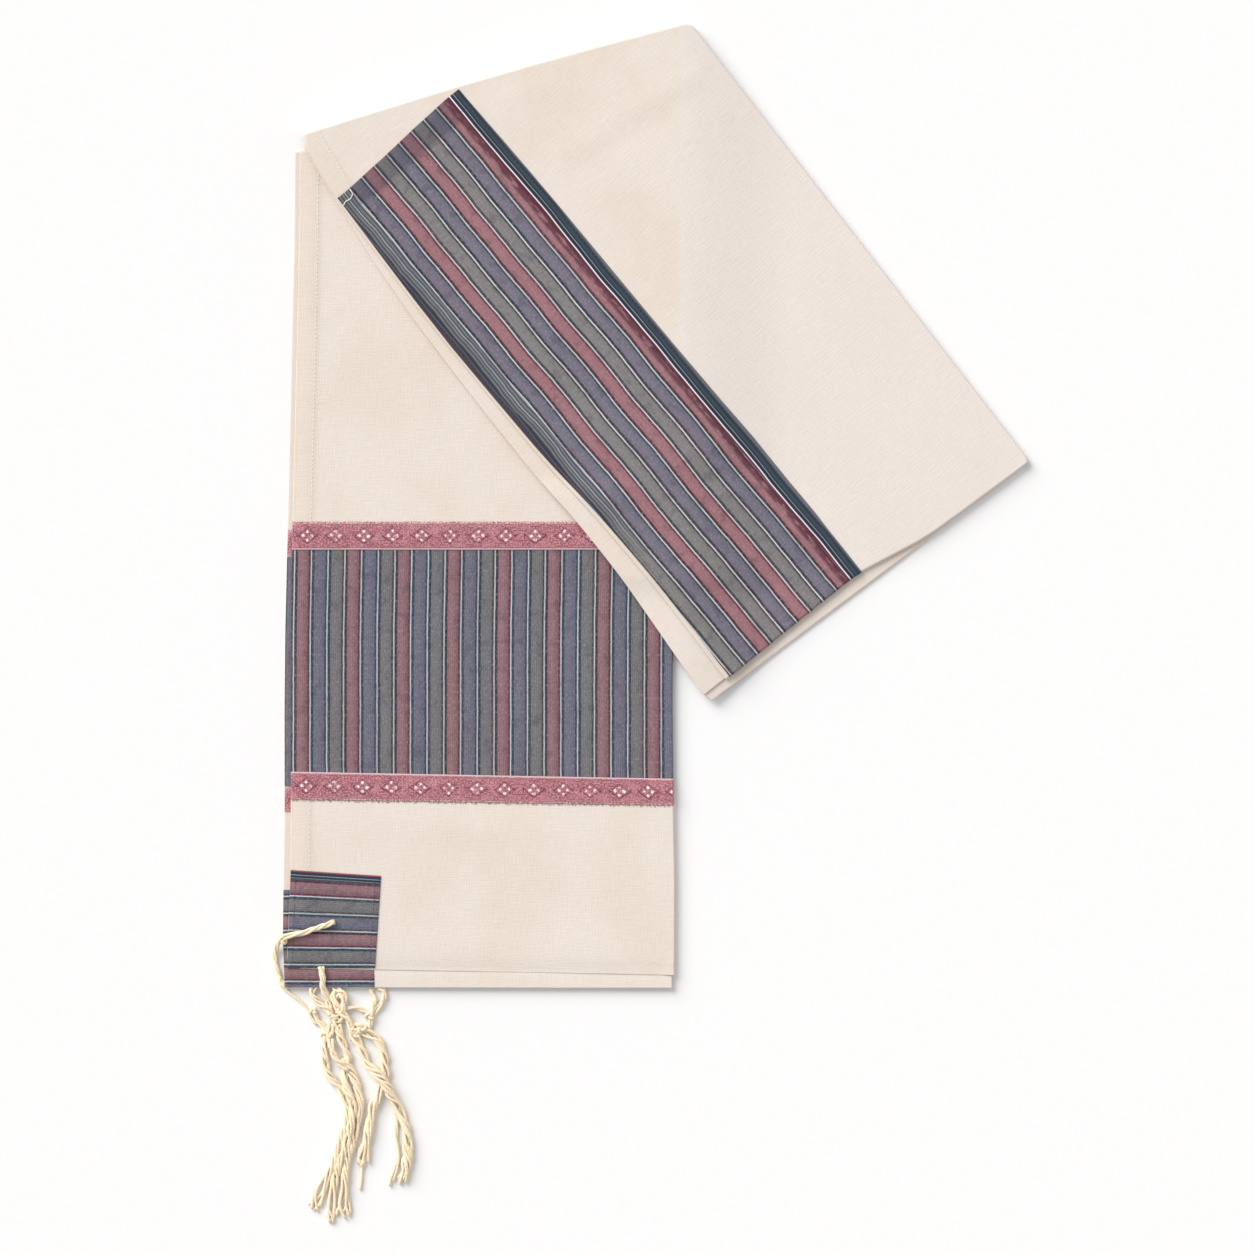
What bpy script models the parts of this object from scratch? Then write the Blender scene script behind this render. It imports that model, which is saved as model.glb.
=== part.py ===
"""Tallit prayer shawl, folded and laid flat.

The long cotton cloth is folded in half crosswise and then lengthwise, which makes four layers,
and this strip is folded once more along a slanted line at the top. The lower stretch runs up
the page (+Y) and the upper stretch lies across it, down to the right. All four corners, with
their patches and tzitzit, come together at the lower left.

Lengths in the tables are in millimetres. X is to the right and Y is up the page, seen from
above, Z is up from the surface the shawl lies on, and the origin is under its middle.
"""
import math
from collections import namedtuple

import bmesh
import bpy
from mathutils import Vector

MM = 0.001

# Cloth and stacking
WALL = 1.0
GAP = 0.3
HIDDEN_LAYERS = 3
STACK_HEIGHT = HIDDEN_LAYERS * WALL
LEAF_TOP = STACK_HEIGHT + GAP + WALL
TRIM_LIFT = WALL + GAP
LIP_REACH = 1.2
LIP_SHARE = (0.5, 0.75, 1.0)
TUCKED_REACH = 0.12
LEAST_STEP = 0.4

# Rounded folds
FLOOR_FOLD_RADIUS = LEAF_TOP / 2
FLOOR_FOLD_END = math.radians(-60)
HIGH_FOLD_END = math.radians(-70)
RIBBON_FOLD_END = math.radians(-25)
END_FOLD_RADIUS = 1.6
FOLD_STEPS = 5
SHARP_ANGLE = math.radians(40)

# Lower stretch, from its top to its hem: left edge of the hidden layers and of the front leaf,
# and the outside of the lengthwise fold on the right
EdgeRow = namedtuple("EdgeRow", "y stack_left leaf_left fold")
LOWER_EDGES = (
    EdgeRow(-217, -218.7, -217.5, 12.6),
    EdgeRow(-206, -219.3, -217.5, 13.7),
    EdgeRow(-177, -219.9, -216.0, 13.7),
    EdgeRow(-141, -218.9, -214.9, 13.6),
    EdgeRow(-88, -218.7, -214.9, 12.6),
    EdgeRow(-34, -218.7, -215.0, 12.2),
    EdgeRow(20, -217.8, -214.6, 12.6),
    EdgeRow(73, -216.3, -213.7, 13.7),
    EdgeRow(127, -215.2, -212.2, 14.6),
    EdgeRow(181, -214.0, -211.0, 14.9),
    EdgeRow(234, -212.8, -209.8, 14.9),
    EdgeRow(350, -212.0, -209.6, 14.9),
)

# Lines across the lower stretch, with their height at its left and right edges
Line = namedtuple("Line", "left right")
LOWER_TOP = Line(280.0, 346.0)
UPPER_RIBBON_TOP = Line(60.2, 60.2)
UPPER_SEAM = Line(52.0, 52.0)
UPPER_RIBBON_BOTTOM = Line(43.8, 43.8)
LOWER_RIBBON_TOP = Line(-88.8, -93.0)
LOWER_SEAM = Line(-97.0, -101.0)
LOWER_RIBBON_BOTTOM = Line(-104.9, -108.5)
LEAF_HEM = Line(-205.6, -209.6)
STACK_HEM = Line(-216.9, -217.3)

# How finely the lower stretch is divided: across the front leaf, down it, and the hidden layers
FRONT_SHARES = (0.0, 0.06, 0.25, 0.5, 0.75, 1.0)
FRONT_ROW = 55.0
UNDER_ROW = 50.0
STACK_COLUMN = 80.0
STACK_ROW = 60.0

# Second layer, where its band, ribbons and patch show past the front leaf
SLIVER_WIDTH = 14.0
UNDER_RIBBON_TOP = 55.4
UNDER_BAND_TOP = 39.3
UNDER_BAND_BOTTOM = -97.1
UNDER_RIBBON_BOTTOM = -112.6
UNDER_PATCH_TOP = -159.1
UNDER_PATCH_RIGHT = -165.4
RECESS_DEPTH = WALL + GAP
RECESS_CLEAR = 0.5
RECESS_SLOPE = 0.5

# Front corner patch, corners clockwise from the top left
PATCH_CORNERS = ((-215.0, -147.3), (-161.6, -150.8), (-165.2, -205.4), (-217.3, -205.3))

# Upper stretch: its own frame starts at the neckband's top left corner and runs down the band
BAND_START = Vector((-185.95, 252.1))
BAND_ALONG = Vector((0.639, -0.769)).normalized()
BAND_ACROSS = Vector((-BAND_ALONG.y, BAND_ALONG.x))
BandRow = namedtuple("BandRow", "v stack_left leaf_left band_left band_right")
BAND_EDGES = (
    BandRow(-45, 4.8, 5.7, -0.5, 96.0),
    BandRow(0, -2.0, -1.4, -0.5, 96.2),
    BandRow(40, -7.5, -3.6, -2.2, 97.2),
    BandRow(80, -11.2, -5.5, -4.0, 97.6),
    BandRow(120, -13.2, -6.0, -4.4, 97.6),
    BandRow(195, -15.2, -6.0, -4.4, 97.6),
    BandRow(240, -14.0, -3.7, -1.5, 98.2),
    BandRow(280, -14.8, -3.0, -0.8, 98.5),
    BandRow(306, -16.8, -3.3, -0.5, 98.3),
    BandRow(356, -21.0, -5.2, -2.2, 97.6),
    BandRow(400, -23.5, -7.6, -4.6, 96.0),
)
BAND_TOP_RISE = 4.6

# Slanted top fold and the long fold on the right of the upper stretch
TOP_LEFT = Vector((-211.0, 290.3))
TOP_RIGHT = Vector((22.6, 358.2))
BOTTOM_RIGHT = Vector((225.3, 96.0))
TOP_FOLD_BOW = 2.0

# Crosswise fold at the end: how far up from the straight outer line the top pair and the
# hidden pair turn back
END_LINE_START = Vector((38.1, -44.7))
END_LINE_SLOPE = 0.748
EndRow = namedtuple("EndRow", "x leaf stack")
END_FOLD = (
    EndRow(30, 6.0, 0.0),
    EndRow(42, 6.4, 0.0),
    EndRow(84, 9.2, 0.0),
    EndRow(119, 11.2, 0.0),
    EndRow(135, 6.3, 0.4),
    EndRow(142, 4.0, 2.6),
    EndRow(150, 2.0, 5.2),
    EndRow(184, 1.2, 4.5),
    EndRow(226, 0.8, 4.1),
)
END_PAIR_TOP = 1.9
END_STEP_TOP = 2.65
WRAP_START = 152.0
WRAP_FULL = 165.0

# The upper stretch lies on the lower one and comes down to the surface past its fold
BRIDGE_START = 2.0
BRIDGE_LENGTH = 18.0
RIBBON_RISE = TRIM_LIFT
RIBBON_RISE_FLAT = 14.0
RIBBON_RISE_RAMP = 14.0

# Where the upper stretch is divided: up to each x, columns of about this width
Span = namedtuple("Span", "end step")
UPPER_START = -207.5
LEAF_CORNER_X = 41.0
UPPER_SPANS = (
    Span(-75.0, 22.0),
    Span(14.0, 8.0),
    Span(34.0, 4.0),
    Span(LEAF_CORNER_X, 4.0),
    Span(134.0, 20.0),
    Span(164.0, 5.0),
    Span(221.0, 19.0),
)
UPPER_SHARES = (0.0, 0.012, 0.05, 0.09, 0.13, 0.17, 0.22, 0.3, 0.4, 0.52, 0.66, 0.82, 1.0)
SNAP = 0.5
HALVINGS = 40

# Colour and roughness of each cloth
Look = namedtuple("Look", "colour roughness")
CREAM_COTTON = Look((0.83, 0.76, 0.67), 0.9)
STRIPED_CLOTH = Look((0.16, 0.15, 0.2), 0.75)
PINK_RIBBON = Look((0.5, 0.17, 0.22), 0.6)
CORD_COTTON = Look((0.8, 0.66, 0.46), 0.9)

# Tzitzit: cords of several threads, knotted, with loose strands after the last knot
CORD_RADIUS = 1.9
STRAND_RADIUS = 1.25
KNOT_RADIUS = 3.1
CORD_SIDES = 4
STRAND_SIDES = 3
STRAND_STAGGER = 0.31
STRAND_TURN = 0.4
ROUTE_STEP = 7.0
CORD_FLOOR = CORD_RADIUS + GAP
STRAND_FLOOR = STRAND_RADIUS + GAP
OVER_PATCH = LEAF_TOP + TRIM_LIFT + GAP + CORD_RADIUS
OVER_STACK = STACK_HEIGHT + GAP + CORD_RADIUS


def clear_scene():
    """Remove what the scene holds."""
    for item in list(bpy.data.objects):
        bpy.data.objects.remove(item, do_unlink=True)


def smooth(share):
    """Ease from 0 to 1."""
    share = min(max(share, 0.0), 1.0)
    return share * share * (3 - 2 * share)


def read_curve(rows, key, value, at):
    """Read a smooth curve through the rows of a table, by the names of two of its columns."""
    keys = [getattr(row, key) for row in rows]
    values = [getattr(row, value) for row in rows]
    at = min(max(at, keys[0]), keys[-1])
    last = len(keys) - 1
    i = 0
    while i < last - 1 and keys[i + 1] < at:
        i += 1

    def slope(k):
        before = max(k - 1, 0)
        after = min(k + 1, last)
        return (values[after] - values[before]) / (keys[after] - keys[before])

    width = keys[i + 1] - keys[i]
    t = (at - keys[i]) / width
    start, end = values[i], values[i + 1]
    lead_in, lead_out = slope(i) * width, slope(i + 1) * width
    return ((2 * t**3 - 3 * t**2 + 1) * start + (t**3 - 2 * t**2 + t) * lead_in
            + (3 * t**2 - 2 * t**3) * end + (t**3 - t**2) * lead_out)


def make_material(name, look):
    material = bpy.data.materials.new(name)
    material.use_nodes = True
    shader = material.node_tree.nodes["Principled BSDF"]
    shader.inputs["Base Color"].default_value = (*look.colour, 1.0)
    shader.inputs["Roughness"].default_value = look.roughness
    shader.inputs["Metallic"].default_value = 0.0
    material.diffuse_color = (*look.colour, 1.0)
    return material


def add_part(name, points, faces, look):
    """Make one closed solid from points in millimetres, with a material of its own."""
    mesh = bpy.data.meshes.new(name)
    mesh.from_pydata([Vector(point) * MM for point in points], [], faces)
    work = bmesh.new()
    work.from_mesh(mesh)
    bmesh.ops.triangulate(work, faces=work.faces[:])
    bmesh.ops.recalc_face_normals(work, faces=work.faces[:])
    work.to_mesh(mesh)
    work.free()
    mesh.materials.append(make_material(name, look))
    mesh.shade_smooth()
    mesh.set_sharp_from_angle(angle=SHARP_ANGLE)
    part = bpy.data.objects.new(name, mesh)
    bpy.context.scene.collection.objects.link(part)
    return part


class Sheet:
    """The outer face of a cloth: points, the direction out of the cloth at each, and faces."""

    def __init__(self):
        self.points = []
        self.outward = []
        self.faces = []

    def add(self, point, outward=(0, 0, 1)):
        self.points.append(Vector(point))
        self.outward.append(Vector(outward).normalized())
        return len(self.points) - 1

    def join(self, row_a, row_b):
        """Fill the strip between two rows of points."""
        for i in range(len(row_a) - 1):
            self.faces.append((row_a[i], row_a[i + 1], row_b[i + 1], row_b[i]))

    def clipped(self, keep):
        """The part of the sheet where keep(x, y) is positive, cut along its edge."""
        result = Sheet()
        values = []
        for point in self.points:
            value = keep(point.x, point.y)
            values.append(0.0 if abs(value) < SNAP else value)
        kept = {}
        cuts = {}

        def copy_of(i):
            if i not in kept:
                kept[i] = result.add(self.points[i], self.outward[i])
            return kept[i]

        def cut_between(i, j):
            key = (min(i, j), max(i, j))
            if key not in cuts:
                share = values[i] / (values[i] - values[j])
                cuts[key] = result.add(self.points[i].lerp(self.points[j], share),
                                       self.outward[i].lerp(self.outward[j], share))
            return cuts[key]

        for face in triangles_of(self):
            if not any(values[i] > 0 for i in face):
                continue
            loop = []
            for place, i in enumerate(face):
                j = face[(place + 1) % len(face)]
                if values[i] >= 0:
                    loop.append(copy_of(i))
                if values[i] * values[j] < 0:
                    loop.append(cut_between(i, j))
            if len(loop) > 2:
                result.faces.append(tuple(loop))
        return result


def triangles_of(sheet):
    """The sheet's faces, with those of four corners split the same way each time."""
    result = []
    for face in sheet.faces:
        for i in range(1, len(face) - 1):
            result.append((face[0], face[i], face[i + 1]))
    return result


def thicken(name, sheet, look, lift=0.0):
    """Make a wall of cloth whose outer face is the sheet, moved out by lift."""
    count = len(sheet.points)
    outer = [point + out * lift for point, out in zip(sheet.points, sheet.outward)]
    inner = [point - out * WALL for point, out in zip(outer, sheet.outward)]
    faces = triangles_of(sheet)
    edges = {}
    for face in faces:
        for i in range(3):
            pair = (face[i], face[(i + 1) % 3])
            edges[pair] = edges.get(pair, 0) + 1
    rim = [pair for pair in edges if (pair[1], pair[0]) not in edges]
    sides = [(a, a + count, b + count, b) for a, b in rim]
    backs = [(c + count, b + count, a + count) for a, b, c in faces]
    return add_part(name, outer + inner, faces + backs + sides, look)


def border_of(columns, rows):
    """Indices round a grid of columns by rows, counterclockwise from its first point."""
    loop = [(i, 0) for i in range(columns)]
    loop += [(columns - 1, k) for k in range(1, rows)]
    loop += [(i, rows - 1) for i in range(columns - 2, -1, -1)]
    loop += [(0, k) for k in range(rows - 2, 0, -1)]
    return loop


def layered_solid(name, grid, bottom, top, reach, look):
    """Close a stack of hidden layers: a lower and an upper face, and a lip for each layer.

    grid[i][k] is a point in plan, bottom and top give the heights there, and reach says how
    far the lips stand out at a place on the border."""
    columns, rows = len(grid), len(grid[0])
    points, faces = [], []
    place = {}
    for side, height in (("low", bottom), ("high", top)):
        for i in range(columns):
            for k in range(rows):
                place[side, i, k] = len(points)
                points.append((grid[i][k].x, grid[i][k].y, height[i][k]))
    for i in range(columns - 1):
        for k in range(rows - 1):
            corners = ((i + 1, k), (i + 1, k + 1), (i, k + 1), (i, k))
            for half in (corners[:3], (corners[0], *corners[2:])):
                faces.append(tuple(place[("high", *corner)] for corner in half))
                faces.append(tuple(place[("low", *corner)] for corner in reversed(half)))
    loop = border_of(columns, rows)
    rings = [[place["low", i, k] for i, k in loop]]
    for layer in range(HIDDEN_LAYERS):
        levels = [((layer + 0.5) / HIDDEN_LAYERS, LIP_SHARE[layer])]
        if layer < HIDDEN_LAYERS - 1:
            levels.append(((layer + 1) / HIDDEN_LAYERS, 0.0))
        for share, lip in levels:
            ring = []
            for n, (i, k) in enumerate(loop):
                i0, k0 = loop[n - 1]
                i1, k1 = loop[(n + 1) % len(loop)]
                run = grid[i1][k1] - grid[i0][k0]
                out = Vector((run.y, -run.x)).normalized()
                spot = grid[i][k] + out * lip * reach[n]
                low, high = bottom[i][k], top[i][k]
                ring.append(len(points))
                points.append((spot.x, spot.y, low + (high - low) * share))
            rings.append(ring)
    rings.append([place["high", i, k] for i, k in loop])
    for ring_a, ring_b in zip(rings, rings[1:]):
        for n in range(len(loop)):
            m = (n + 1) % len(loop)
            faces.append((ring_a[n], ring_a[m], ring_b[m], ring_b[n]))
    return add_part(name, points, faces, look)


def lower_edge(column, y):
    return read_curve(LOWER_EDGES, "y", column, y)


def lower_point(line, share, left="leaf_left"):
    """A point on a line across the lower stretch, from its left edge to where its fold starts."""
    y = line.left + (line.right - line.left) * share
    x_left = lower_edge(left, y)
    x_right = lower_edge("fold", y) - FLOOR_FOLD_RADIUS
    return Vector((x_left + (x_right - x_left) * share, y))


def between(line_a, line_b, share):
    return Line(line_a.left + (line_b.left - line_a.left) * share,
                line_a.right + (line_b.right - line_a.right) * share)


def front_sheet(line_a, line_b, fold_end=FLOOR_FOLD_END):
    """The outer face of the front leaf between two lines, with its round fold on the right."""
    sheet = Sheet()
    rows = max(1, math.ceil((line_a.left - line_b.left) / FRONT_ROW))
    grid = []
    for r in range(rows + 1):
        line = between(line_a, line_b, r / rows)
        row = []
        for share in FRONT_SHARES:
            point = lower_point(line, share)
            row.append(sheet.add((point.x, point.y, LEAF_TOP)))
        centre = lower_point(line, 1.0)
        for step in range(1, FOLD_STEPS + 1):
            angle = math.pi / 2 + (fold_end - math.pi / 2) * step / FOLD_STEPS
            out = Vector((math.cos(angle), 0, math.sin(angle)))
            axis = Vector((centre.x, centre.y, FLOOR_FOLD_RADIUS))
            row.append(sheet.add(axis + out * FLOOR_FOLD_RADIUS, out))
        grid.append(row)
    for row_a, row_b in zip(grid, grid[1:]):
        sheet.join(row_b, row_a)
    return sheet


def raised(line, amount):
    return Line(line.left + amount, line.right + amount)


def make_front():
    """The front leaf in three lengths, seamed to its band, and the ribbons over the seams."""
    half = GAP / 2
    thicken("front_leaf", front_sheet(LOWER_TOP, raised(UPPER_SEAM, half)), CREAM_COTTON)
    thicken("front_band", front_sheet(raised(UPPER_SEAM, -half), raised(LOWER_SEAM, half)),
            STRIPED_CLOTH)
    thicken("front_end", front_sheet(raised(LOWER_SEAM, -half), LEAF_HEM), CREAM_COTTON)
    thicken("front_ribbon_upper",
            front_sheet(UPPER_RIBBON_TOP, UPPER_RIBBON_BOTTOM, RIBBON_FOLD_END),
            PINK_RIBBON, lift=TRIM_LIFT)
    thicken("front_ribbon_lower",
            front_sheet(LOWER_RIBBON_TOP, LOWER_RIBBON_BOTTOM, RIBBON_FOLD_END),
            PINK_RIBBON, lift=TRIM_LIFT)


def make_front_patch():
    sheet = Sheet()
    corners = [sheet.add((x, y, LEAF_TOP)) for x, y in PATCH_CORNERS]
    sheet.faces.append(tuple(reversed(corners)))
    thicken("front_patch", sheet, STRIPED_CLOTH, lift=TRIM_LIFT)


def with_steps(marks, step):
    """Places from the first mark to the last, with the marks themselves among them."""
    places = [marks[0]]
    for mark in marks[1:]:
        pieces = max(1, round(abs(mark - places[-1]) / step))
        start = places[-1]
        for n in range(1, pieces + 1):
            places.append(start + (mark - start) * n / pieces)
    return places


def make_lower_stack():
    """The three hidden layers of the lower stretch, with room for what shows of the second."""
    width = lower_edge("fold", 0) - FLOOR_FOLD_RADIUS - lower_edge("stack_left", 0) - LIP_REACH
    sliver = SLIVER_WIDTH + RECESS_CLEAR
    patch = UNDER_PATCH_RIGHT - lower_edge("stack_left", UNDER_PATCH_TOP) + RECESS_CLEAR
    across = with_steps([0.0, sliver, sliver + RECESS_SLOPE, patch, patch + RECESS_SLOPE, width],
                        STACK_COLUMN)
    shares = [place / width for place in across]
    clear = RECESS_CLEAR
    slope = RECESS_SLOPE
    heights = with_steps([LOWER_TOP.left, UNDER_RIBBON_TOP + clear + slope,
                          UNDER_RIBBON_TOP + clear, UNDER_RIBBON_BOTTOM - clear,
                          UNDER_RIBBON_BOTTOM - clear - slope, UNDER_PATCH_TOP + clear + slope,
                          UNDER_PATCH_TOP + clear, STACK_HEM.left + LIP_REACH], STACK_ROW)

    def line_at(height):
        tilt = (height - UNDER_RIBBON_TOP - clear - slope) / (
            LOWER_TOP.left - UNDER_RIBBON_TOP - clear - slope)
        return Line(height, height + max(tilt, 0.0) * (LOWER_TOP.right - LOWER_TOP.left))

    grid, bottom, top = [], [], []
    for share, place in zip(shares, across):
        column, low, high = [], [], []
        for height in reversed(heights):
            point = lower_point(line_at(height), share, "stack_left")
            point.x += LIP_REACH * (1 - share)
            column.append(point)
            low.append(0.0)
            beside_band = UNDER_RIBBON_BOTTOM - clear <= height <= UNDER_RIBBON_TOP + clear
            beside_patch = height <= UNDER_PATCH_TOP + clear
            sunk = (beside_band and place <= sliver) or (beside_patch and place <= patch)
            high.append(STACK_HEIGHT - (RECESS_DEPTH if sunk else 0.0))
        grid.append(column)
        bottom.append(low)
        top.append(high)
    reach = []
    for i, k in border_of(len(grid), len(grid[0])):
        free = i == 0 or k == 0
        reach.append(LIP_REACH if free else TUCKED_REACH)
    layered_solid("lower_stack", grid, bottom, top, reach, CREAM_COTTON)


def make_under_piece(name, y_top, y_bottom, look, right=None):
    """What shows of the second layer, set level with the top of the hidden layers."""
    sheet = Sheet()
    rows = []
    steps = max(1, math.ceil((y_top - y_bottom) / UNDER_ROW))
    for n in range(steps + 1):
        y = y_top + (y_bottom - y_top) * n / steps
        x_left = lower_edge("stack_left", y)
        x_right = right if right is not None else x_left + SLIVER_WIDTH
        rows.append([sheet.add((x_left, y, STACK_HEIGHT)), sheet.add((x_right, y, STACK_HEIGHT))])
    for row_a, row_b in zip(rows, rows[1:]):
        sheet.join(row_b, row_a)
    thicken(name, sheet, look)


def make_under_pieces():
    make_under_piece("under_ribbon_upper", UNDER_RIBBON_TOP, UNDER_BAND_TOP + GAP, PINK_RIBBON)
    make_under_piece("under_band", UNDER_BAND_TOP, UNDER_BAND_BOTTOM, STRIPED_CLOTH)
    make_under_piece("under_ribbon_lower", UNDER_BAND_BOTTOM - GAP, UNDER_RIBBON_BOTTOM,
                     PINK_RIBBON)
    make_under_piece("under_patch", UNDER_PATCH_TOP, STACK_HEM.left, STRIPED_CLOTH,
                     UNDER_PATCH_RIGHT)


def band_place(x, y):
    """Distance across and along the neckband's frame."""
    offset = Vector((x, y)) - BAND_START
    return offset.dot(BAND_ACROSS), offset.dot(BAND_ALONG)


def band_edge(column, v):
    return read_curve(BAND_EDGES, "v", column, v)


def left_edge_height(column, x):
    """Height of one of the upper stretch's left edges at x, found by halving."""
    low, high = BAND_EDGES[0].v, BAND_EDGES[-1].v
    for _ in range(HALVINGS):
        v = (low + high) / 2
        point = BAND_START + BAND_ALONG * v + BAND_ACROSS * band_edge(column, v)
        if point.x < x:
            low = v
        else:
            high = v
    return point.y


def end_line(x):
    return END_LINE_START.y + (x - END_LINE_START.x) * END_LINE_SLOPE


def slanted(amount, slope):
    """How far up or down a line of this slope moves when it is shifted sideways by amount."""
    return amount * math.sqrt(1 + slope * slope)


def resting_height(x, y):
    """Height of the underside of the upper stretch."""
    past_fold = x - lower_edge("fold", y) - BRIDGE_START
    on_panel = 1 - smooth(past_fold / BRIDGE_LENGTH)
    above = y - UPPER_RIBBON_TOP.left - RIBBON_RISE_FLAT
    below = UPPER_RIBBON_BOTTOM.left - RIBBON_RISE_FLAT - y
    on_ribbon = 1 - smooth(max(above, below) / RIBBON_RISE_RAMP)
    return on_panel * (LEAF_TOP + GAP + on_ribbon * RIBBON_RISE)


def wrap_share(x):
    """0 where the top pair turns back above the hidden pair, 1 where they turn as one."""
    return smooth((x - WRAP_START) / (WRAP_FULL - WRAP_START))


def top_slope():
    run = TOP_RIGHT - TOP_LEFT
    return run.y / run.x


def right_slope():
    run = BOTTOM_RIGHT - TOP_RIGHT
    return run.y / run.x


def high_line(x):
    """Where the round of the top fold or of the right fold starts, on the flat side."""
    share = min(max((x - TOP_LEFT.x) / (TOP_RIGHT.x - TOP_LEFT.x), 0.0), 1.0)
    top = TOP_LEFT.y + (x - TOP_LEFT.x) * top_slope() + TOP_FOLD_BOW * math.sin(math.pi * share)
    right = TOP_RIGHT.y + (x - TOP_RIGHT.x) * right_slope()
    radius = (resting_height(x, TOP_RIGHT.y) + LEAF_TOP) / 2
    return min(top - slanted(radius, top_slope()), right - slanted(radius, right_slope()))


def leaf_low_line(x):
    """The top leaf's free left edge, and where the round of its end fold starts."""
    radius = END_FOLD_RADIUS + (FLOOR_FOLD_RADIUS - END_FOLD_RADIUS) * wrap_share(x)
    turn = end_line(x) + read_curve(END_FOLD, "x", "leaf", x) + slanted(radius, END_LINE_SLOPE)
    return max(left_edge_height("leaf_left", x), turn)


def stack_low_line(x):
    """The left edge and the end fold of the hidden layers, inside their lips."""
    inner = slanted(LIP_REACH, END_LINE_SLOPE)
    left = left_edge_height("stack_left", x) + slanted(LIP_REACH, right_slope())
    turn = end_line(x) + read_curve(END_FOLD, "x", "stack", x) + inner * (1 - wrap_share(x))
    return max(left, turn)


def upper_columns():
    places = [UPPER_START]
    for span in UPPER_SPANS:
        start = places[-1]
        pieces = max(1, round((span.end - start) / span.step))
        for n in range(1, pieces + 1):
            places.append(start + (span.end - start) * n / pieces)
    return places


def leaf_fold_section(x, y, on_end):
    """Radius, height of its axis and last angle of the round at a border point of the leaf."""
    top = resting_height(x, y) + LEAF_TOP
    radius = top / 2
    share = smooth((top - LEAF_TOP) / LEAF_TOP)
    last = FLOOR_FOLD_END + (HIGH_FOLD_END - FLOOR_FOLD_END) * share
    axis = radius
    if on_end:
        share = wrap_share(x)
        radius = END_FOLD_RADIUS + (radius - END_FOLD_RADIUS) * share
        axis = top - radius
        last = last * share
    return radius, axis, last


def top_leaf_sheet():
    """The outer face of the top leaf: flat, with rounds at the top, right and end folds."""
    sheet = Sheet()
    columns = upper_columns()
    grid = []
    for x in columns:
        low, high = leaf_low_line(x), high_line(x)
        column = []
        for share in UPPER_SHARES:
            y = low + (high - low) * share
            column.append(sheet.add((x, y, resting_height(x, y) + LEAF_TOP)))
        grid.append(column)
    for column_a, column_b in zip(grid, grid[1:]):
        sheet.join(column_b, column_a)
    border = [(column[-1], False) for column in grid]
    border += [(index, False) for index in reversed(grid[-1][1:-1])]
    for x, column in zip(reversed(columns), reversed(grid)):
        if x >= LEAF_CORNER_X - SNAP:
            border.append((column[0], True))
    rounds = []
    for n, (index, on_end) in enumerate(border):
        before = sheet.points[border[max(n - 1, 0)][0]]
        after = sheet.points[border[min(n + 1, len(border) - 1)][0]]
        run = after - before
        side = Vector((-run.y, run.x, 0)).normalized()
        point = sheet.points[index]
        radius, axis, last = leaf_fold_section(point.x, point.y, on_end)
        centre = Vector((point.x, point.y, axis))
        row = [index]
        for step in range(1, FOLD_STEPS + 1):
            angle = math.pi / 2 + (last - math.pi / 2) * step / FOLD_STEPS
            out = side * math.cos(angle) + Vector((0, 0, math.sin(angle)))
            row.append(sheet.add(centre + out * radius, out))
        rounds.append(row)
    for row_a, row_b in zip(rounds, rounds[1:]):
        sheet.join(row_b, row_a)
    return sheet


def make_neckband(leaf):
    """The neckband: the leaf's own face between its edges, moved out, over the end fold too."""
    def inside_left(x, y):
        u, v = band_place(x, y)
        return u - band_edge("band_left", v)

    def inside_right(x, y):
        u, v = band_place(x, y)
        return band_edge("band_right", v) - u

    def below_top(x, y):
        u, v = band_place(x, y)
        return v + BAND_TOP_RISE * smooth(u / BAND_EDGES[0].band_right)

    sheet = leaf.clipped(inside_left).clipped(inside_right).clipped(below_top)
    thicken("neckband", sheet, STRIPED_CLOTH, lift=TRIM_LIFT)


def make_upper_stack():
    """The three hidden layers of the upper stretch, lying on the lower one and the surface."""
    grid, bottom, top = [], [], []
    columns = upper_columns()
    for x in columns:
        low = stack_low_line(x)
        shared = max(leaf_low_line(x), low + LEAST_STEP)
        high = high_line(x)
        heights = [low, low + (shared - low) / 2]
        heights += [shared + (high - shared) * share for share in UPPER_SHARES]
        stepped = LEAF_CORNER_X - SNAP <= x and wrap_share(x) == 0
        tops = [STACK_HEIGHT] * len(heights)
        if stepped:
            tops[0] = tops[1] = END_PAIR_TOP
            tops[2] = END_STEP_TOP
        rests = [resting_height(x, y) for y in heights]
        grid.append([Vector((x, y)) for y in heights])
        bottom.append(rests)
        top.append([rest + height for rest, height in zip(rests, tops)])
    reach = []
    rows = len(grid[0])
    for i, k in border_of(len(grid), rows):
        free = k == 0 and columns[i] < WRAP_START
        reach.append(LIP_REACH if free else TUCKED_REACH)
    layered_solid("upper_stack", grid, bottom, top, reach, CREAM_COTTON)


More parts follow.
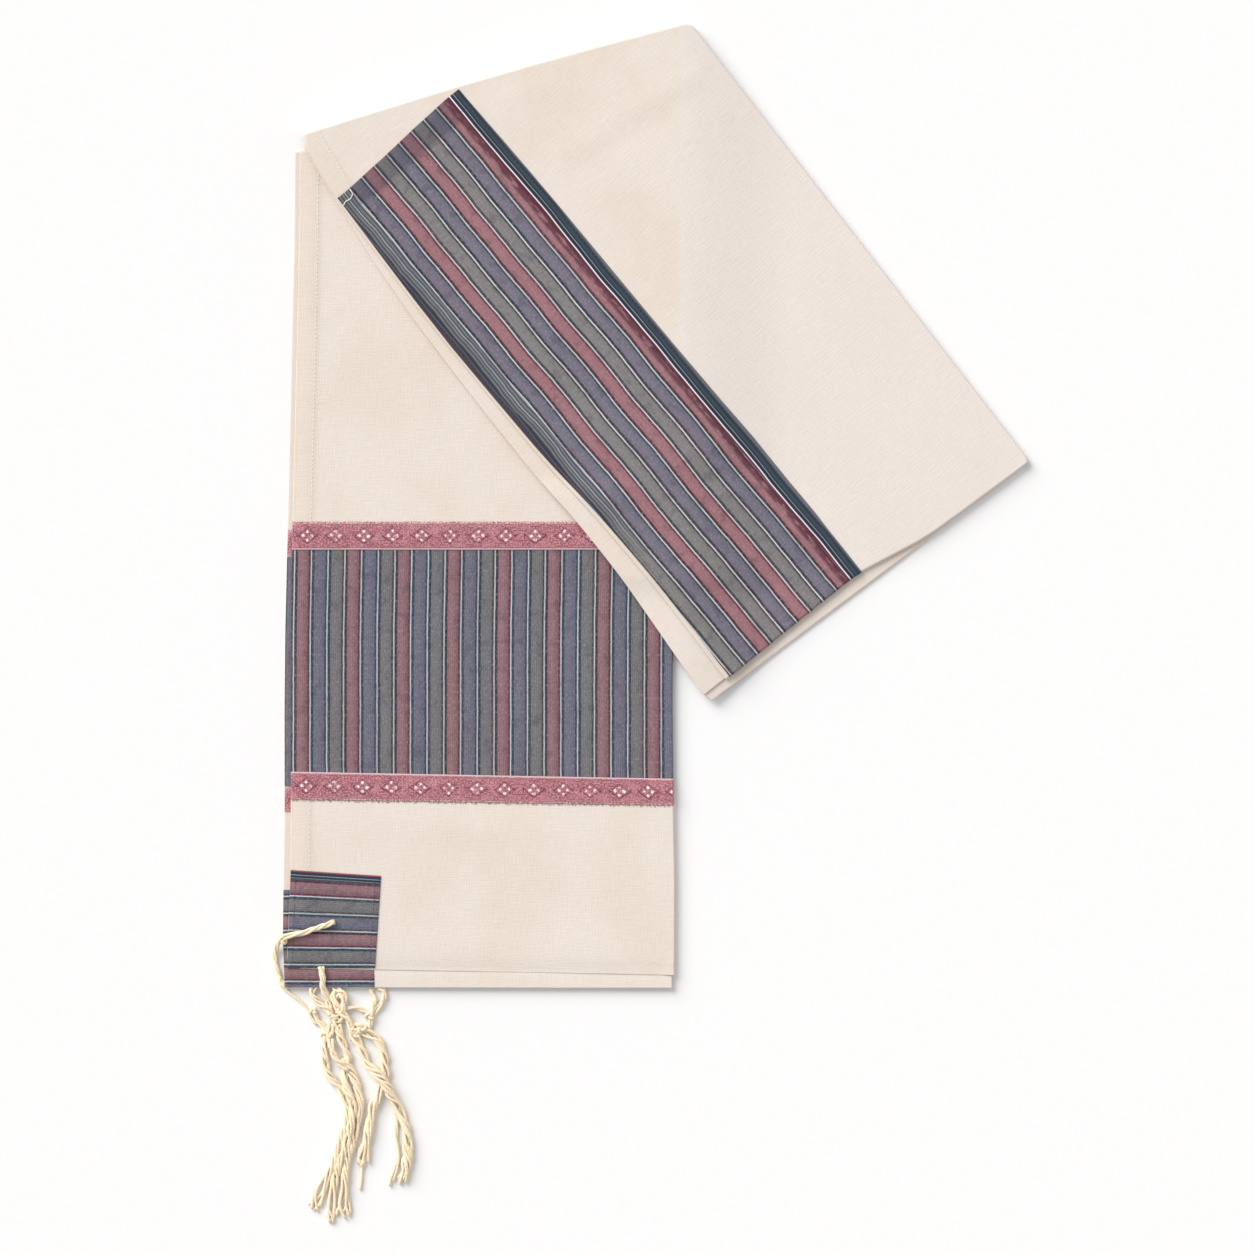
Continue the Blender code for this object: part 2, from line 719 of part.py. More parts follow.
# Tzitzit routes: points chosen along each cord in the order x, y, z, and along each strand in
# the order x, y and, where it passes over another, its lift
Fringe = namedtuple("Fringe", "name cord knots strands")
FRINGES = (
    Fringe(
        "tzitzit_front_left",
        ((-189.5, -177.6, OVER_PATCH), (-203.0, -182.4, OVER_PATCH + 0.3),
         (-214.6, -185.9, OVER_PATCH), (-220.5, -189.3, 6.8), (-224.2, -193.6, 3.6),
         (-225.0, -199.0, CORD_FLOOR), (-224.6, -207.0, CORD_FLOOR),
         (-223.4, -215.6, CORD_FLOOR), (-218.0, -221.6, CORD_FLOOR),
         (-209.2, -227.6, CORD_FLOOR), (-201.8, -235.0, CORD_FLOOR),
         (-196.0, -243.0, CORD_FLOOR)),
        ((-219.8, -188.6, 7.2), (-196.0, -243.0, KNOT_RADIUS + GAP)),
        (((-196.4, -243.0), (-196.6, -254.0), (-194.6, -265.0), (-190.0, -275.5),
          (-188.0, -287.0), (-189.6, -303.0), (-194.4, -322.0), (-204.6, -349.0)),
         ((-195.6, -243.0), (-191.6, -254.0), (-188.6, -265.0), (-184.6, -275.0),
          (-182.6, -290.0), (-185.6, -308.0), (-190.0, -330.0), (-196.0, -352.5))),
    ),
    Fringe(
        "tzitzit_second_left",
        ((-197.0, -208.6, OVER_STACK), (-196.4, -214.0, OVER_STACK),
         (-194.6, -219.6, OVER_STACK - 1.2), (-192.0, -225.6, 3.2),
         (-189.0, -232.6, CORD_FLOOR), (-186.6, -239.0, CORD_FLOOR)),
        ((-186.6, -240.0, KNOT_RADIUS + GAP),),
        (((-186.8, -240.0), (-184.0, -251.0), (-179.6, -261.0), (-179.0, -272.0),
          (-176.6, -286.0), (-178.4, -306.0), (-184.0, -330.0), (-187.6, -357.0)),
         ((-186.0, -240.0), (-180.0, -249.0), (-174.6, -259.0), (-173.6, -272.0),
          (-171.4, -288.0), (-173.4, -308.0), (-178.6, -330.0), (-181.6, -354.5))),
    ),
    Fringe(
        "tzitzit_third_left",
        ((-180.0, -217.4, CORD_FLOOR), (-180.4, -221.6, CORD_FLOOR),
         (-181.0, -227.0, CORD_FLOOR),
         (-178.4, -234.6, CORD_FLOOR), (-174.0, -241.6, CORD_FLOOR)),
        ((-173.6, -242.6, KNOT_RADIUS + GAP),),
        (((-173.6, -242.6), (-168.4, -251.0), (-163.0, -262.0), (-158.6, -271.0),
          (-153.0, -283.0), (-147.6, -297.0), (-145.4, -312.0), (-149.4, -334.0)),
         ((-172.6, -242.6), (-164.0, -250.0), (-158.6, -260.6), (-154.0, -269.6),
          (-148.0, -282.0), (-142.6, -298.0), (-141.0, -314.0), (-145.0, -336.0))),
    ),
    Fringe(
        "tzitzit_fourth_left",
        ((-163.0, -217.5, CORD_FLOOR), (-162.6, -220.6, CORD_FLOOR),
         (-159.8, -225.0, CORD_FLOOR),
         (-162.0, -232.6, CORD_FLOOR), (-165.4, -239.0, CORD_FLOOR)),
        ((-164.6, -239.0, KNOT_RADIUS + GAP),),
        (((-163.6, -239.6), (-158.0, -245.0, 1.2), (-152.0, -253.0, 2.8), (-149.0, -262.0, 3.4),
          (-151.4, -272.0, 3.4), (-157.0, -282.0, 3.4), (-164.0, -297.0, 1.2),
          (-170.0, -322.0)),
         ((-162.6, -238.6), (-154.0, -243.0, 1.2), (-147.6, -252.0, 2.8), (-144.6, -263.0, 3.4),
          (-147.4, -274.0, 3.4), (-153.0, -285.0, 3.4), (-160.0, -299.0, 1.2),
          (-166.0, -324.0))),
    ),
)


def smooth_route(points):
    """Points about ROUTE_STEP apart on a smooth curve through a route's own points."""
    spots = [Vector(point) for point in points]
    spots = [spots[0] * 2 - spots[1]] + spots + [spots[-1] * 2 - spots[-2]]
    result = []
    for i in range(1, len(spots) - 2):
        a, b, c, d = spots[i - 1:i + 3]
        steps = max(1, round((c - b).length / ROUTE_STEP))
        for n in range(steps):
            t = n / steps
            result.append(0.5 * (2 * b + (c - a) * t + (2 * a - 5 * b + 4 * c - d) * t * t
                                 + (3 * b - 3 * c + d - a) * t ** 3))
    result.append(spots[-2])
    return result


def tube(route, radius, sides, turn=0.0):
    """A closed tube along a route, with its sections square to it and turned about it."""
    points, faces = [], []
    for n, spot in enumerate(route):
        run = (route[min(n + 1, len(route) - 1)] - route[max(n - 1, 0)]).normalized()
        across = run.cross(Vector((0, 0, 1))).normalized()
        up = across.cross(run)
        for s in range(sides):
            angle = 2 * math.pi * (s + 0.5) / sides + math.pi / 2 + turn
            points.append(spot + (across * math.cos(angle) + up * math.sin(angle)) * radius)
    for n in range(len(route) - 1):
        for s in range(sides):
            t = (s + 1) % sides
            a, b = n * sides, (n + 1) * sides
            faces.append((a + s, a + t, b + t, b + s))
    faces.append(tuple(range(sides)))
    faces.append(tuple(range(len(points) - sides, len(points)))[::-1])
    return points, faces


def ball(centre, radius):
    work = bmesh.new()
    bmesh.ops.create_icosphere(work, subdivisions=1, radius=radius)
    points = [vert.co + Vector(centre) for vert in work.verts]
    faces = [tuple(vert.index for vert in face.verts) for face in work.faces]
    work.free()
    return points, faces


def join_by_union(base, pieces):
    """Fuse the pieces into the base with a Boolean union each."""
    for piece in pieces:
        union = base.modifiers.new(piece.name, "BOOLEAN")
        union.operation = "UNION"
        union.solver = "EXACT"
        union.object = piece
        piece.hide_render = True
        piece.display_type = "WIRE"


def make_tzitzit(fringe):
    """One corner's cord with its knots, and the loose strands rooted in the last knot."""
    points, faces = tube(smooth_route(fringe.cord), CORD_RADIUS, CORD_SIDES)
    cord = add_part(fringe.name, points, faces, CORD_COTTON)
    pieces = []
    for n, centre in enumerate(fringe.knots):
        points, faces = ball(centre, KNOT_RADIUS)
        pieces.append(add_part(f"{fringe.name}_knot_{n}", points, faces, CORD_COTTON))
    for n, plan in enumerate(fringe.strands):
        floor = STRAND_FLOOR + n * STRAND_STAGGER
        route = smooth_route([(x, y, floor + sum(lift)) for x, y, *lift in plan])
        points, faces = tube(route, STRAND_RADIUS, STRAND_SIDES, STRAND_TURN * (n + 1))
        pieces.append(add_part(f"{fringe.name}_strand_{n}", points, faces, CORD_COTTON))
    join_by_union(cord, pieces)


def main():
    clear_scene()
    make_lower_stack()
    make_under_pieces()
    make_front()
    make_front_patch()
    make_upper_stack()
    leaf = top_leaf_sheet()
    thicken("top_leaf", leaf, CREAM_COTTON)
    make_neckband(leaf)
    for fringe in FRINGES:
        make_tzitzit(fringe)


main()
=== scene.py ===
"""Looks of the folded prayer shawl: cloth shells, ribbons, sewing, fringes, floor, light, camera.

Lengths are in millimetres until a mesh is made. X is to the right, Y up the page and Z up from
the surface, as in the frame. A place on a flat cloth is (across, along), and it is kept as the
mesh's UV in metres, so that weaves and stripes follow the cloth round its folds.
"""
import math
from collections import namedtuple

import bpy
import numpy as np
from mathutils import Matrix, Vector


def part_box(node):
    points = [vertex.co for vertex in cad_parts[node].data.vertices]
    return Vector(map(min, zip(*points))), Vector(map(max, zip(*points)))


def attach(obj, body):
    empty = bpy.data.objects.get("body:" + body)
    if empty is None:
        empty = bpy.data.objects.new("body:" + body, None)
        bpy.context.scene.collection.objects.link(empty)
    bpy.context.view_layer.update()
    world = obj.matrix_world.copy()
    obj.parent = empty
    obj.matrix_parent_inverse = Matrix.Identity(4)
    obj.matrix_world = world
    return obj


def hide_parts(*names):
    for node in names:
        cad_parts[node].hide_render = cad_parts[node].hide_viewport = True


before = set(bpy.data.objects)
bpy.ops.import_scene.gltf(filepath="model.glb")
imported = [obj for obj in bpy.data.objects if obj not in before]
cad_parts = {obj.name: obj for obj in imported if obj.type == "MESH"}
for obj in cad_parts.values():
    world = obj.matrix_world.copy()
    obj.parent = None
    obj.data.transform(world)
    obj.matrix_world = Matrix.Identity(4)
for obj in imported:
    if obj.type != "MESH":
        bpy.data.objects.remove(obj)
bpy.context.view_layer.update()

MM = 0.001
TINY = 1e-9
STEP = 2.6
RANDOM = np.random.default_rng(7)

# Cloth
CLOTH = 0.55
TRIM = 0.5
GAP = 0.3
TRIM_RISE = 0.75
TRIM_EDGE_RISE = 0.1
TRIM_EDGE_WIDTH = 1.6
FLOOR_CLEAR = 0.04
LEAF_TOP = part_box("front_leaf")[1].z / MM
FOLD_RADIUS = LEAF_TOP / 2
SQUASH = 0.28
END_RADIUS = 1.15
LEDGE_RADIUS = 0.93
ROUND_STEPS = 10

# Layers of the lower stretch, heights of their outer faces
INNER_TOP = 3.1
INNER_BOTTOM = 0.95
INNER_INSET = 1.4
STRIP_RISE = 0.3

# Layers of the upper stretch, above what it rests on
SECOND_TOP = 2.95
THIRD_TOP = 2 * LEDGE_RADIUS + FLOOR_CLEAR
BACK_TOP = 0.7

# The upper stretch comes off the lower one past its fold
BRIDGE_START = 2.0
BRIDGE_LENGTH = 64.0
RIBBON_RISE = 1.3
RIBBON_RISE_FLAT = 14.0
RIBBON_RISE_RAMP = 14.0

# Corners of the upper stretch, on the outside of its folds
TOP_LEFT = np.array([-211.0, 290.3])
TOP_RIGHT = np.array([22.6, 358.2])
BOTTOM_RIGHT = np.array([225.3, 96.0])
TOP_BOW = 2.0
UPPER_LENGTH = 330.0
CORNER_SOFTNESS = 5.0
END_START = np.array([38.1, -44.7])
END_SLOPE = 0.748
# How far above the end line the top pair of layers turns back, for each x
END_FOLD = np.array([(20, 5.6), (42, 6.4), (84, 9.2), (119, 11.0), (124, 10.4), (145, 5.8),
                     (158, 3.0), (168, 1.7), (190, 1.2), (226, 0.9)])

# The neckband's frame: its top left corner, and the direction down it
BAND_START = np.array([-185.95, 252.1])
BAND_ALONG = np.array([0.639, -0.769]) / math.hypot(0.639, 0.769)
BAND_ACROSS = np.array([-BAND_ALONG[1], BAND_ALONG[0]])
BAND_WIDTH = 97.0

# Hems
SIDE_HEM = 12.0
HEM_RISE = 0.28

# Stripes: one cell is a pin line, a dark line and a broad stripe
CELL = 9.96
NECK_CELL = 10.07

Crease = namedtuple("Crease", "x0 y0 x1 y1 width rise")
LOWER_CREASES = (
    Crease(-200, 196, -190, 172, 5.0, -0.35),
    Crease(-206, 190, -186, 186, 4.0, 0.3),
    Crease(-211, 277, -203, 269, 2.5, 0.35),
    Crease(-203, 269, -190, 246, 2.5, 0.3),
    Crease(-150, 200, -120, 60, 16.0, 0.3),
    Crease(-60, 150, -40, 62, 14.0, -0.3),
    Crease(-175, 30, -168, -90, 9.0, -0.25),
    Crease(-110, 40, -104, -84, 8.0, 0.25),
    Crease(-48, 20, -52, -96, 7.0, -0.3),
    Crease(-10, 0, -14, -92, 6.0, 0.3),
    Crease(-190, -118, -60, -126, 8.0, 0.3),
    Crease(-120, -130, -20, -180, 14.0, -0.3),
    Crease(-150, -190, -30, -196, 7.0, 0.25),
)
UPPER_CREASES = (
    Crease(-55, 276, 38, 336, 8.0, 0.4),
    Crease(-47, 268, 44, 326, 9.0, -0.25),
    Crease(60, 250, 150, 120, 22.0, 0.6),
    Crease(90, 262, 176, 150, 14.0, -0.45),
    Crease(30, 200, 110, 60, 14.0, -0.4),
    Crease(-120, 300, -60, 322, 12.0, 0.35),
    Crease(150, 130, 200, 96, 10.0, 0.4),
)
BAND_CREASES = (
    Crease(38, 60, 60, 196, 9.0, 0.5),
    Crease(14, 150, 30, 190, 7.0, -0.4),
    Crease(2, 232, 96, 262, 9.0, 0.7),
    Crease(0, 250, 92, 282, 7.0, -0.55),
    Crease(4, 306, 98, 330, 9.0, 0.8),
    Crease(2, 330, 96, 352, 8.0, -0.6),
    Crease(20, 0, 26, 60, 6.0, 0.4),
    Crease(66, -4, 60, 40, 7.0, -0.4),
)


def smooth(share):
    share = np.clip(share, 0.0, 1.0)
    return share * share * (3 - 2 * share)


def slanted(amount, slope):
    return amount * math.sqrt(1 + slope * slope)


def unit(vectors):
    """Vectors in rows, each brought to a length of one."""
    return vectors / np.maximum(np.linalg.norm(vectors, axis=1, keepdims=True), TINY)


def run_along(points):
    """How far along a line of points each of them is."""
    return np.concatenate([[0.0], np.cumsum(np.linalg.norm(np.diff(points, axis=0), axis=1))])


def arc(place, side, radius, angles, flatter=1.0):
    """A round that starts on top at a place, and turns down and under on one side of it."""
    out = radius * flatter * np.cos(angles)[:, None] * side
    height = place[2] - radius + radius * np.sin(angles)
    return np.concatenate([place[:2] + out, height[:, None]], -1)


def solid_of(name):
    """Points in millimetres and triangles of a CAD node."""
    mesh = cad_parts[name].data
    mesh.calc_loop_triangles()
    points = np.empty(len(mesh.vertices) * 3, np.float32)
    mesh.vertices.foreach_get("co", points)
    corners = np.empty(len(mesh.loop_triangles) * 3, np.int32)
    mesh.loop_triangles.foreach_get("vertices", corners)
    return points.reshape(-1, 3).astype(float) / MM, corners.reshape(-1, 3)


def reach(names, places, along=(0.0, 1.0), origin=(0.0, 0.0)):
    """Least and greatest reach of CAD nodes across a direction, at places along it."""
    along = np.array(along)
    across = np.array([-along[1], along[0]]) if along[0] else np.array([1.0, 0.0])
    low = np.full(len(places), np.inf)
    high = np.full(len(places), -np.inf)
    for name in names:
        points, corners = solid_of(name)
        plan = points[:, :2] - np.array(origin)
        ahead, aside = plan @ along, plan @ across
        start = corners.ravel()
        end = np.roll(corners, -1, axis=1).ravel()
        for n, place in enumerate(places):
            a, b = ahead[start] - place, ahead[end] - place
            hit = (a * b <= 0) & (np.abs(a - b) > 1e-6)
            if hit.any():
                share = a[hit] / (a[hit] - b[hit])
                across_there = aside[start][hit] * (1 - share) + aside[end][hit] * share
                low[n] = min(low[n], across_there.min())
                high[n] = max(high[n], across_there.max())
    known = np.isfinite(low)
    low = np.interp(places, places[known], low[known])
    high = np.interp(places, places[known], high[known])
    return low, high


def crease_rise(creases, x, y):
    """Soft troughs and ridges along short lines, fading out at both ends."""
    total = np.zeros(np.shape(x))
    for c in creases:
        run = np.array([c.x1 - c.x0, c.y1 - c.y0], float)
        length = np.hypot(*run)
        run /= length
        ahead = (x - c.x0) * run[0] + (y - c.y0) * run[1]
        aside = (y - c.y0) * run[0] - (x - c.x0) * run[1]
        bend = aside + 0.12 * c.width * np.sin(ahead / length * 7.0 + c.width)
        fade = smooth((ahead + 0.2 * length) / (0.45 * length))
        fade = fade * smooth((1.2 * length - ahead) / (0.45 * length))
        total += c.rise * np.exp(-(bend / c.width) ** 2) * fade
    return total


def ripple(x, y, size):
    """A faint unevenness all over a cloth."""
    wave = np.sin(x / 23.0 + 1.7 * np.sin(y / 41.0)) + np.sin(y / 29.0 + 1.3 * np.sin(x / 37.0))
    return size * (wave + 0.6 * np.sin((x + y) / 13.0 + 2 * np.sin(y / 17.0)))


class Sheet:
    """A cloth's outer face: points, their places on the flat cloth, and four-cornered faces."""

    def __init__(self):
        self.points = np.zeros((0, 3))
        self.flat = np.zeros((0, 2))
        self.faces = np.zeros((0, 4), int)

    def add(self, points, flat):
        """Add points in rows or a grid, and give their indices in the same order."""
        first = len(self.points)
        shape = points.shape[:-1]
        self.points = np.vstack([self.points, points.reshape(-1, 3)])
        self.flat = np.vstack([self.flat, flat.reshape(-1, 2)])
        return np.arange(first, len(self.points)).reshape(shape)

    def fill(self, grid):
        """Join a grid of indices. Its first way is to the right of its second, seen from outside."""
        quads = np.stack([grid[:-1, :-1], grid[1:, :-1], grid[1:, 1:], grid[:-1, 1:]], -1)
        self.faces = np.vstack([self.faces, quads.reshape(-1, 4)])

    def outward(self):
        a, b, c, d = (self.points[self.faces[:, k]] for k in range(4))
        across = np.cross(c - a, d - b)
        total = np.zeros_like(self.points)
        for k in range(4):
            np.add.at(total, self.faces[:, k], across)
        return unit(total)

    def rim(self):
        """Edges that belong to one face only, in that face's own direction."""
        starts = self.faces.ravel()
        ends = np.roll(self.faces, -1, axis=1).ravel()
        size = len(self.points)
        keys = starts * size + ends
        lone = ~np.isin(ends * size + starts, keys)
        return np.stack([starts[lone], ends[lone]], -1)


def add_mesh(name, points, faces, flat, material):
    """Make a mesh object from points in millimetres, with places on the cloth as its UV."""
    mesh = bpy.data.meshes.new(name)
    mesh.from_pydata((np.asarray(points) * MM).tolist(), [], [list(map(int, f)) for f in faces])
    layer = mesh.uv_layers.new(name="flat")
    corners = np.empty(len(mesh.loops), np.int32)
    mesh.loops.foreach_get("vertex_index", corners)
    layer.data.foreach_set("uv", (np.asarray(flat)[corners] * MM).ravel().astype(np.float32))
    mesh.materials.append(material)
    mesh.shade_smooth()
    piece = bpy.data.objects.new(name, mesh)
    bpy.context.scene.collection.objects.link(piece)
    return piece


def make_cloth(name, sheet, thickness, material):
    """Give a sheet its thickness, with round edges."""
    outward = sheet.outward()
    rim = sheet.rim()
    count = len(sheet.points)
    inner = sheet.points - outward * thickness
    side = np.zeros_like(sheet.points)
    edge = sheet.points[rim[:, 1]] - sheet.points[rim[:, 0]]
    for k in range(2):
        np.add.at(side, rim[:, k], np.cross(edge, outward[rim[:, k]]))
    border = np.unique(rim)
    middle = (sheet.points[border] + inner[border]) / 2 + unit(side[border]) * thickness / 2
    place = np.zeros(count, int)
    place[border] = np.arange(len(border)) + 2 * count
    points = np.vstack([sheet.points, inner, middle])
    flat = np.vstack([sheet.flat, sheet.flat, sheet.flat[border]])
    a, b = rim[:, 0], rim[:, 1]
    faces = np.vstack([
        sheet.faces,
        sheet.faces[:, ::-1] + count,
        np.stack([b, a, place[a], place[b]], -1),
        np.stack([place[b], place[a], a + count, b + count], -1),
    ])
    return add_mesh(name, points, faces, flat, material)


def finish_cloth(piece, node_names):
    """Hide the CAD nodes a cloth stands for, and tie the cloth to the frame."""
    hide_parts(*node_names)
    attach(piece, "root")


def shares(length, edge=0.0):
    """Even places from 0 to 1 for a length, with a few more close to both ends."""
    count = max(3, int(round(length / STEP)))
    places = np.linspace(0.0, 1.0, count + 1)
    if edge:
        near = np.array([0.15, 0.4, 1.0]) * edge / length
        inside = places[(places > near[-1] * 1.5) & (places < 1 - near[-1] * 1.5)]
        places = np.concatenate([[0.0], near, inside, 1 - near[::-1], [1.0]])
    return places


# The lower stretch

LOWER_NODES = ("front_leaf", "front_band", "front_end")
STACK_NODES = ("lower_stack", "under_band", "under_patch", "under_ribbon_upper",
               "under_ribbon_lower")
LOWER_PLACES = np.arange(-209.0, 345.0, 3.0)
LOWER_PLACES = LOWER_PLACES[(np.abs(LOWER_PLACES + 99) > 6) & (np.abs(LOWER_PLACES - 52) > 4)]
LOWER_LEFT, LOWER_RIGHT = reach(LOWER_NODES, LOWER_PLACES)
STACK_PLACES = np.arange(-214.0, 279.0, 3.0)
STACK_LEFT = reach(STACK_NODES, STACK_PLACES)[0]

Line = namedtuple("Line", "left right")
LOWER_TOP = Line(280.0, 346.0)
UPPER_RIBBON_TOP = Line(60.2, 60.2)
UPPER_SEAM = Line(52.0, 52.0)
UPPER_RIBBON_BOTTOM = Line(43.8, 43.8)
LOWER_RIBBON_TOP = Line(-88.8, -93.0)
LOWER_SEAM = Line(-97.0, -101.0)
LOWER_RIBBON_BOTTOM = Line(-104.9, -108.5)
LEAF_HEM = Line(-205.6, -209.6)
STACK_HEM = Line(-216.9, -217.3)
SEAM_HALF = 0.1
SETTLE = 0.62
PAST_HEM_RISE = 0.36


def leaf_left(y):
    return np.interp(np.clip(y, -204.0, 276.0), LOWER_PLACES, LOWER_LEFT)


def lower_fold(y):
    """Outside of the lengthwise fold at the right of the lower stretch."""
    return np.interp(np.clip(y, -205.0, 335.0), LOWER_PLACES, LOWER_RIGHT)


def stack_left(y):
    return np.interp(y, STACK_PLACES, STACK_LEFT)


def moved(line, amount):
    return Line(line.left + amount, line.right + amount)


def y_of(line, share):
    """Where a line is, a share of the way across the lower stretch."""
    return line.left + (line.right - line.left) * share


def leaf_hem(x, y):
    """Where the front leaf's hem is at x, with y only to place its left edge and fold."""
    return y_of(LEAF_HEM, (x - leaf_left(y)) / (lower_fold(y) - leaf_left(y)))


def hem_rise(distance, width=SIDE_HEM):
    """A hem's double cloth, with a soft step at its inner edge."""
    return HEM_RISE * (1 - smooth((distance - width + 1.5) / 3.0))


def trim_rise(distance):
    """How far a sewn-down trim stands above its cloth: least at its edges."""
    return TRIM_EDGE_RISE + TRIM + (TRIM_RISE - TRIM) * smooth(distance / TRIM_EDGE_WIDTH)


def lower_lift(x, y):
    """The creases and unevenness of the front leaf, with its side hem."""
    from_fold = lower_fold(y) - FOLD_RADIUS - x
    soft = crease_rise(LOWER_CREASES, x, y) * 0.7 + ripple(x, y, 0.03)
    held_up = smooth((y - leaf_hem(x, y)) / 9.0) * (0.4 + 0.6 * smooth((x - leaf_left(y)) / 7.0))
    settled = SETTLE * (1 - held_up) * smooth(from_fold / 6.0)
    return soft * smooth(from_fold / 12.0) + hem_rise(x - leaf_left(y)) - settled


def past_hem(x, y):
    """The second layer stands a little higher where the front leaf's hem no longer presses."""
    return PAST_HEM_RISE * smooth((leaf_hem(x, y) - y + 1.0) / 2.0)


def lower_sheet(line_a, line_b, left, top, bottom, inset=0.0, trim=False, lifted=True, back=True,
                last_angle=-90.0):
    """A cloth on the lower stretch, from its left edge round the fold, and back underneath."""
    sheet = Sheet()
    radius = (top - bottom) / 2
    height = abs(line_a.left - line_b.left)
    across = shares(lower_fold(0.0) - left(0.0), 3.0)
    down = shares(height, 2.0)
    angles = np.radians(np.linspace(90.0, last_angle, ROUND_STEPS + 1)[1:])
    points, flat = [], []
    for share in down[::-1]:
        line = Line(*(a + (b - a) * share for a, b in zip(line_a, line_b)))
        y = y_of(line, across)
        x_left = left(y)
        x_fold = lower_fold(y) - inset - radius * SQUASH
        x = x_left + (x_fold - x_left) * across
        rise = trim_rise(min(share, 1 - share) * height) if trim else 0.0
        z = top + rise + (lower_lift(x, y) if lifted else past_hem(x, y))
        turned = (x - x_left)[-1] + radius * (math.pi / 2 - angles)
        turn = radius + rise
        turn_y = np.full(len(angles), line.right)
        row = [np.stack([x, y, z], -1),
               np.stack([x_fold[-1] + turn * SQUASH * np.cos(angles), turn_y,
                         bottom + radius + turn * np.sin(angles)], -1)]
        up = np.full(len(x), (0.5 - share) * height) if trim else y
        places = [np.stack([x - x_left, up], -1),
                  np.stack([turned, np.full(len(turned), up[-1])], -1)]
        if back:
            back_x, back_y = x[::-1][1:], y[::-1][1:]
            row.append(np.stack([back_x, back_y, np.full(len(back_x), bottom)], -1))
            places.append(np.stack([turned[-1] + x_fold[-1] - back_x, back_y], -1))
        points.append(np.concatenate(row))
        flat.append(np.concatenate(places))
    sheet.fill(sheet.add(np.array(points).transpose(1, 0, 2), np.array(flat).transpose(1, 0, 2)))
    return sheet


def make_lower(looks):
    """The outer layer with its band, the inner pair of layers, and the ribbons."""
    lengths = (
        ("front_leaf_cloth", "front_leaf", LOWER_TOP, moved(UPPER_SEAM, SEAM_HALF),
         looks["cream"], "cream_cotton"),
        ("front_band_cloth", "front_band", moved(UPPER_SEAM, -SEAM_HALF),
         moved(LOWER_SEAM, SEAM_HALF), looks["band"], "striped_cloth"),
        ("front_end_cloth", "front_end", moved(LOWER_SEAM, -SEAM_HALF), LEAF_HEM,
         looks["cream"], "cream_cotton"),
    )
    bottom = FLOOR_CLEAR
    for name, node, line_a, line_b, look, slot in lengths:
        sheet = lower_sheet(line_a, line_b, leaf_left, LEAF_TOP, bottom)
        piece = make_cloth(name, sheet, CLOTH, look)
        finish_cloth(piece, [node])
    for name, line_a, line_b, look in (
            ("front_ribbon_upper", UPPER_RIBBON_TOP, UPPER_RIBBON_BOTTOM, "ribbon_upper"),
            ("front_ribbon_lower", LOWER_RIBBON_TOP, LOWER_RIBBON_BOTTOM, "ribbon_lower")):
        sheet = lower_sheet(line_a, line_b, leaf_left, LEAF_TOP, bottom, trim=True, back=False,
                            last_angle=-25.0)
        piece = make_cloth(name + "_cloth", sheet, TRIM, looks[look])
        finish_cloth(piece, [name])
    sheet = lower_sheet(LOWER_TOP, STACK_HEM, stack_left, INNER_TOP, INNER_BOTTOM,
                        inset=INNER_INSET, lifted=False)
    piece = make_cloth("lower_inner_pair", sheet, CLOTH, looks["cream"])
    finish_cloth(piece, ["lower_stack"])
    make_under_strips(looks)


def make_under_strips(looks):
    """What shows of the second layer's ribbons, band and patch past the front leaf."""
    for node, look, slot in (("under_ribbon_upper", "ribbon_side", "pink_ribbon"),
                             ("under_band", "under_band", "striped_cloth"),
                             ("under_ribbon_lower", "ribbon_side", "pink_ribbon"),
                             ("under_patch", "under_patch", "striped_cloth")):
        low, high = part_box(node)
        y_low, y_high = low.y / MM, high.y / MM
        width = high.x / MM - stack_left(y_low)
        sheet = Sheet()
        across = shares(width) * width
        along = shares(y_high - y_low, 2.0) * (y_high - y_low)
        x_grid, y_grid = np.meshgrid(across, y_low + along, indexing="ij")
        left = stack_left(y_grid)
        z_grid = INNER_TOP + STRIP_RISE + past_hem(left + x_grid, y_grid)
        points = np.stack([left + x_grid, y_grid, z_grid], -1)
        down = y_high - y_grid - ((y_high - y_low) / 2 if look == "ribbon_side" else 0.0)
        sheet.fill(sheet.add(points, np.stack([x_grid, down], -1)))
        piece = make_cloth(node + "_cloth", sheet, STRIP_RISE - 0.05, looks[look])
        finish_cloth(piece, [node])


# Corners of the front patch, clockwise from the top left
PATCH_CORNERS = np.array([(-215.0, -147.3), (-161.6, -150.8), (-165.2, -205.4),
                          (-217.3, -205.3)])
PATCH_RISE = 0.85
PATCH_WIDTH = 53.5


def patch_place(across, down):
    """A place in the plan for shares across and down the front patch, with rounded corners."""
    a, b = np.asarray(across)[..., None], np.asarray(down)[..., None]
    top = PATCH_CORNERS[0] * (1 - a) + PATCH_CORNERS[1] * a
    low = PATCH_CORNERS[3] * (1 - a) + PATCH_CORNERS[2] * a
    return top * (1 - b) + low * b


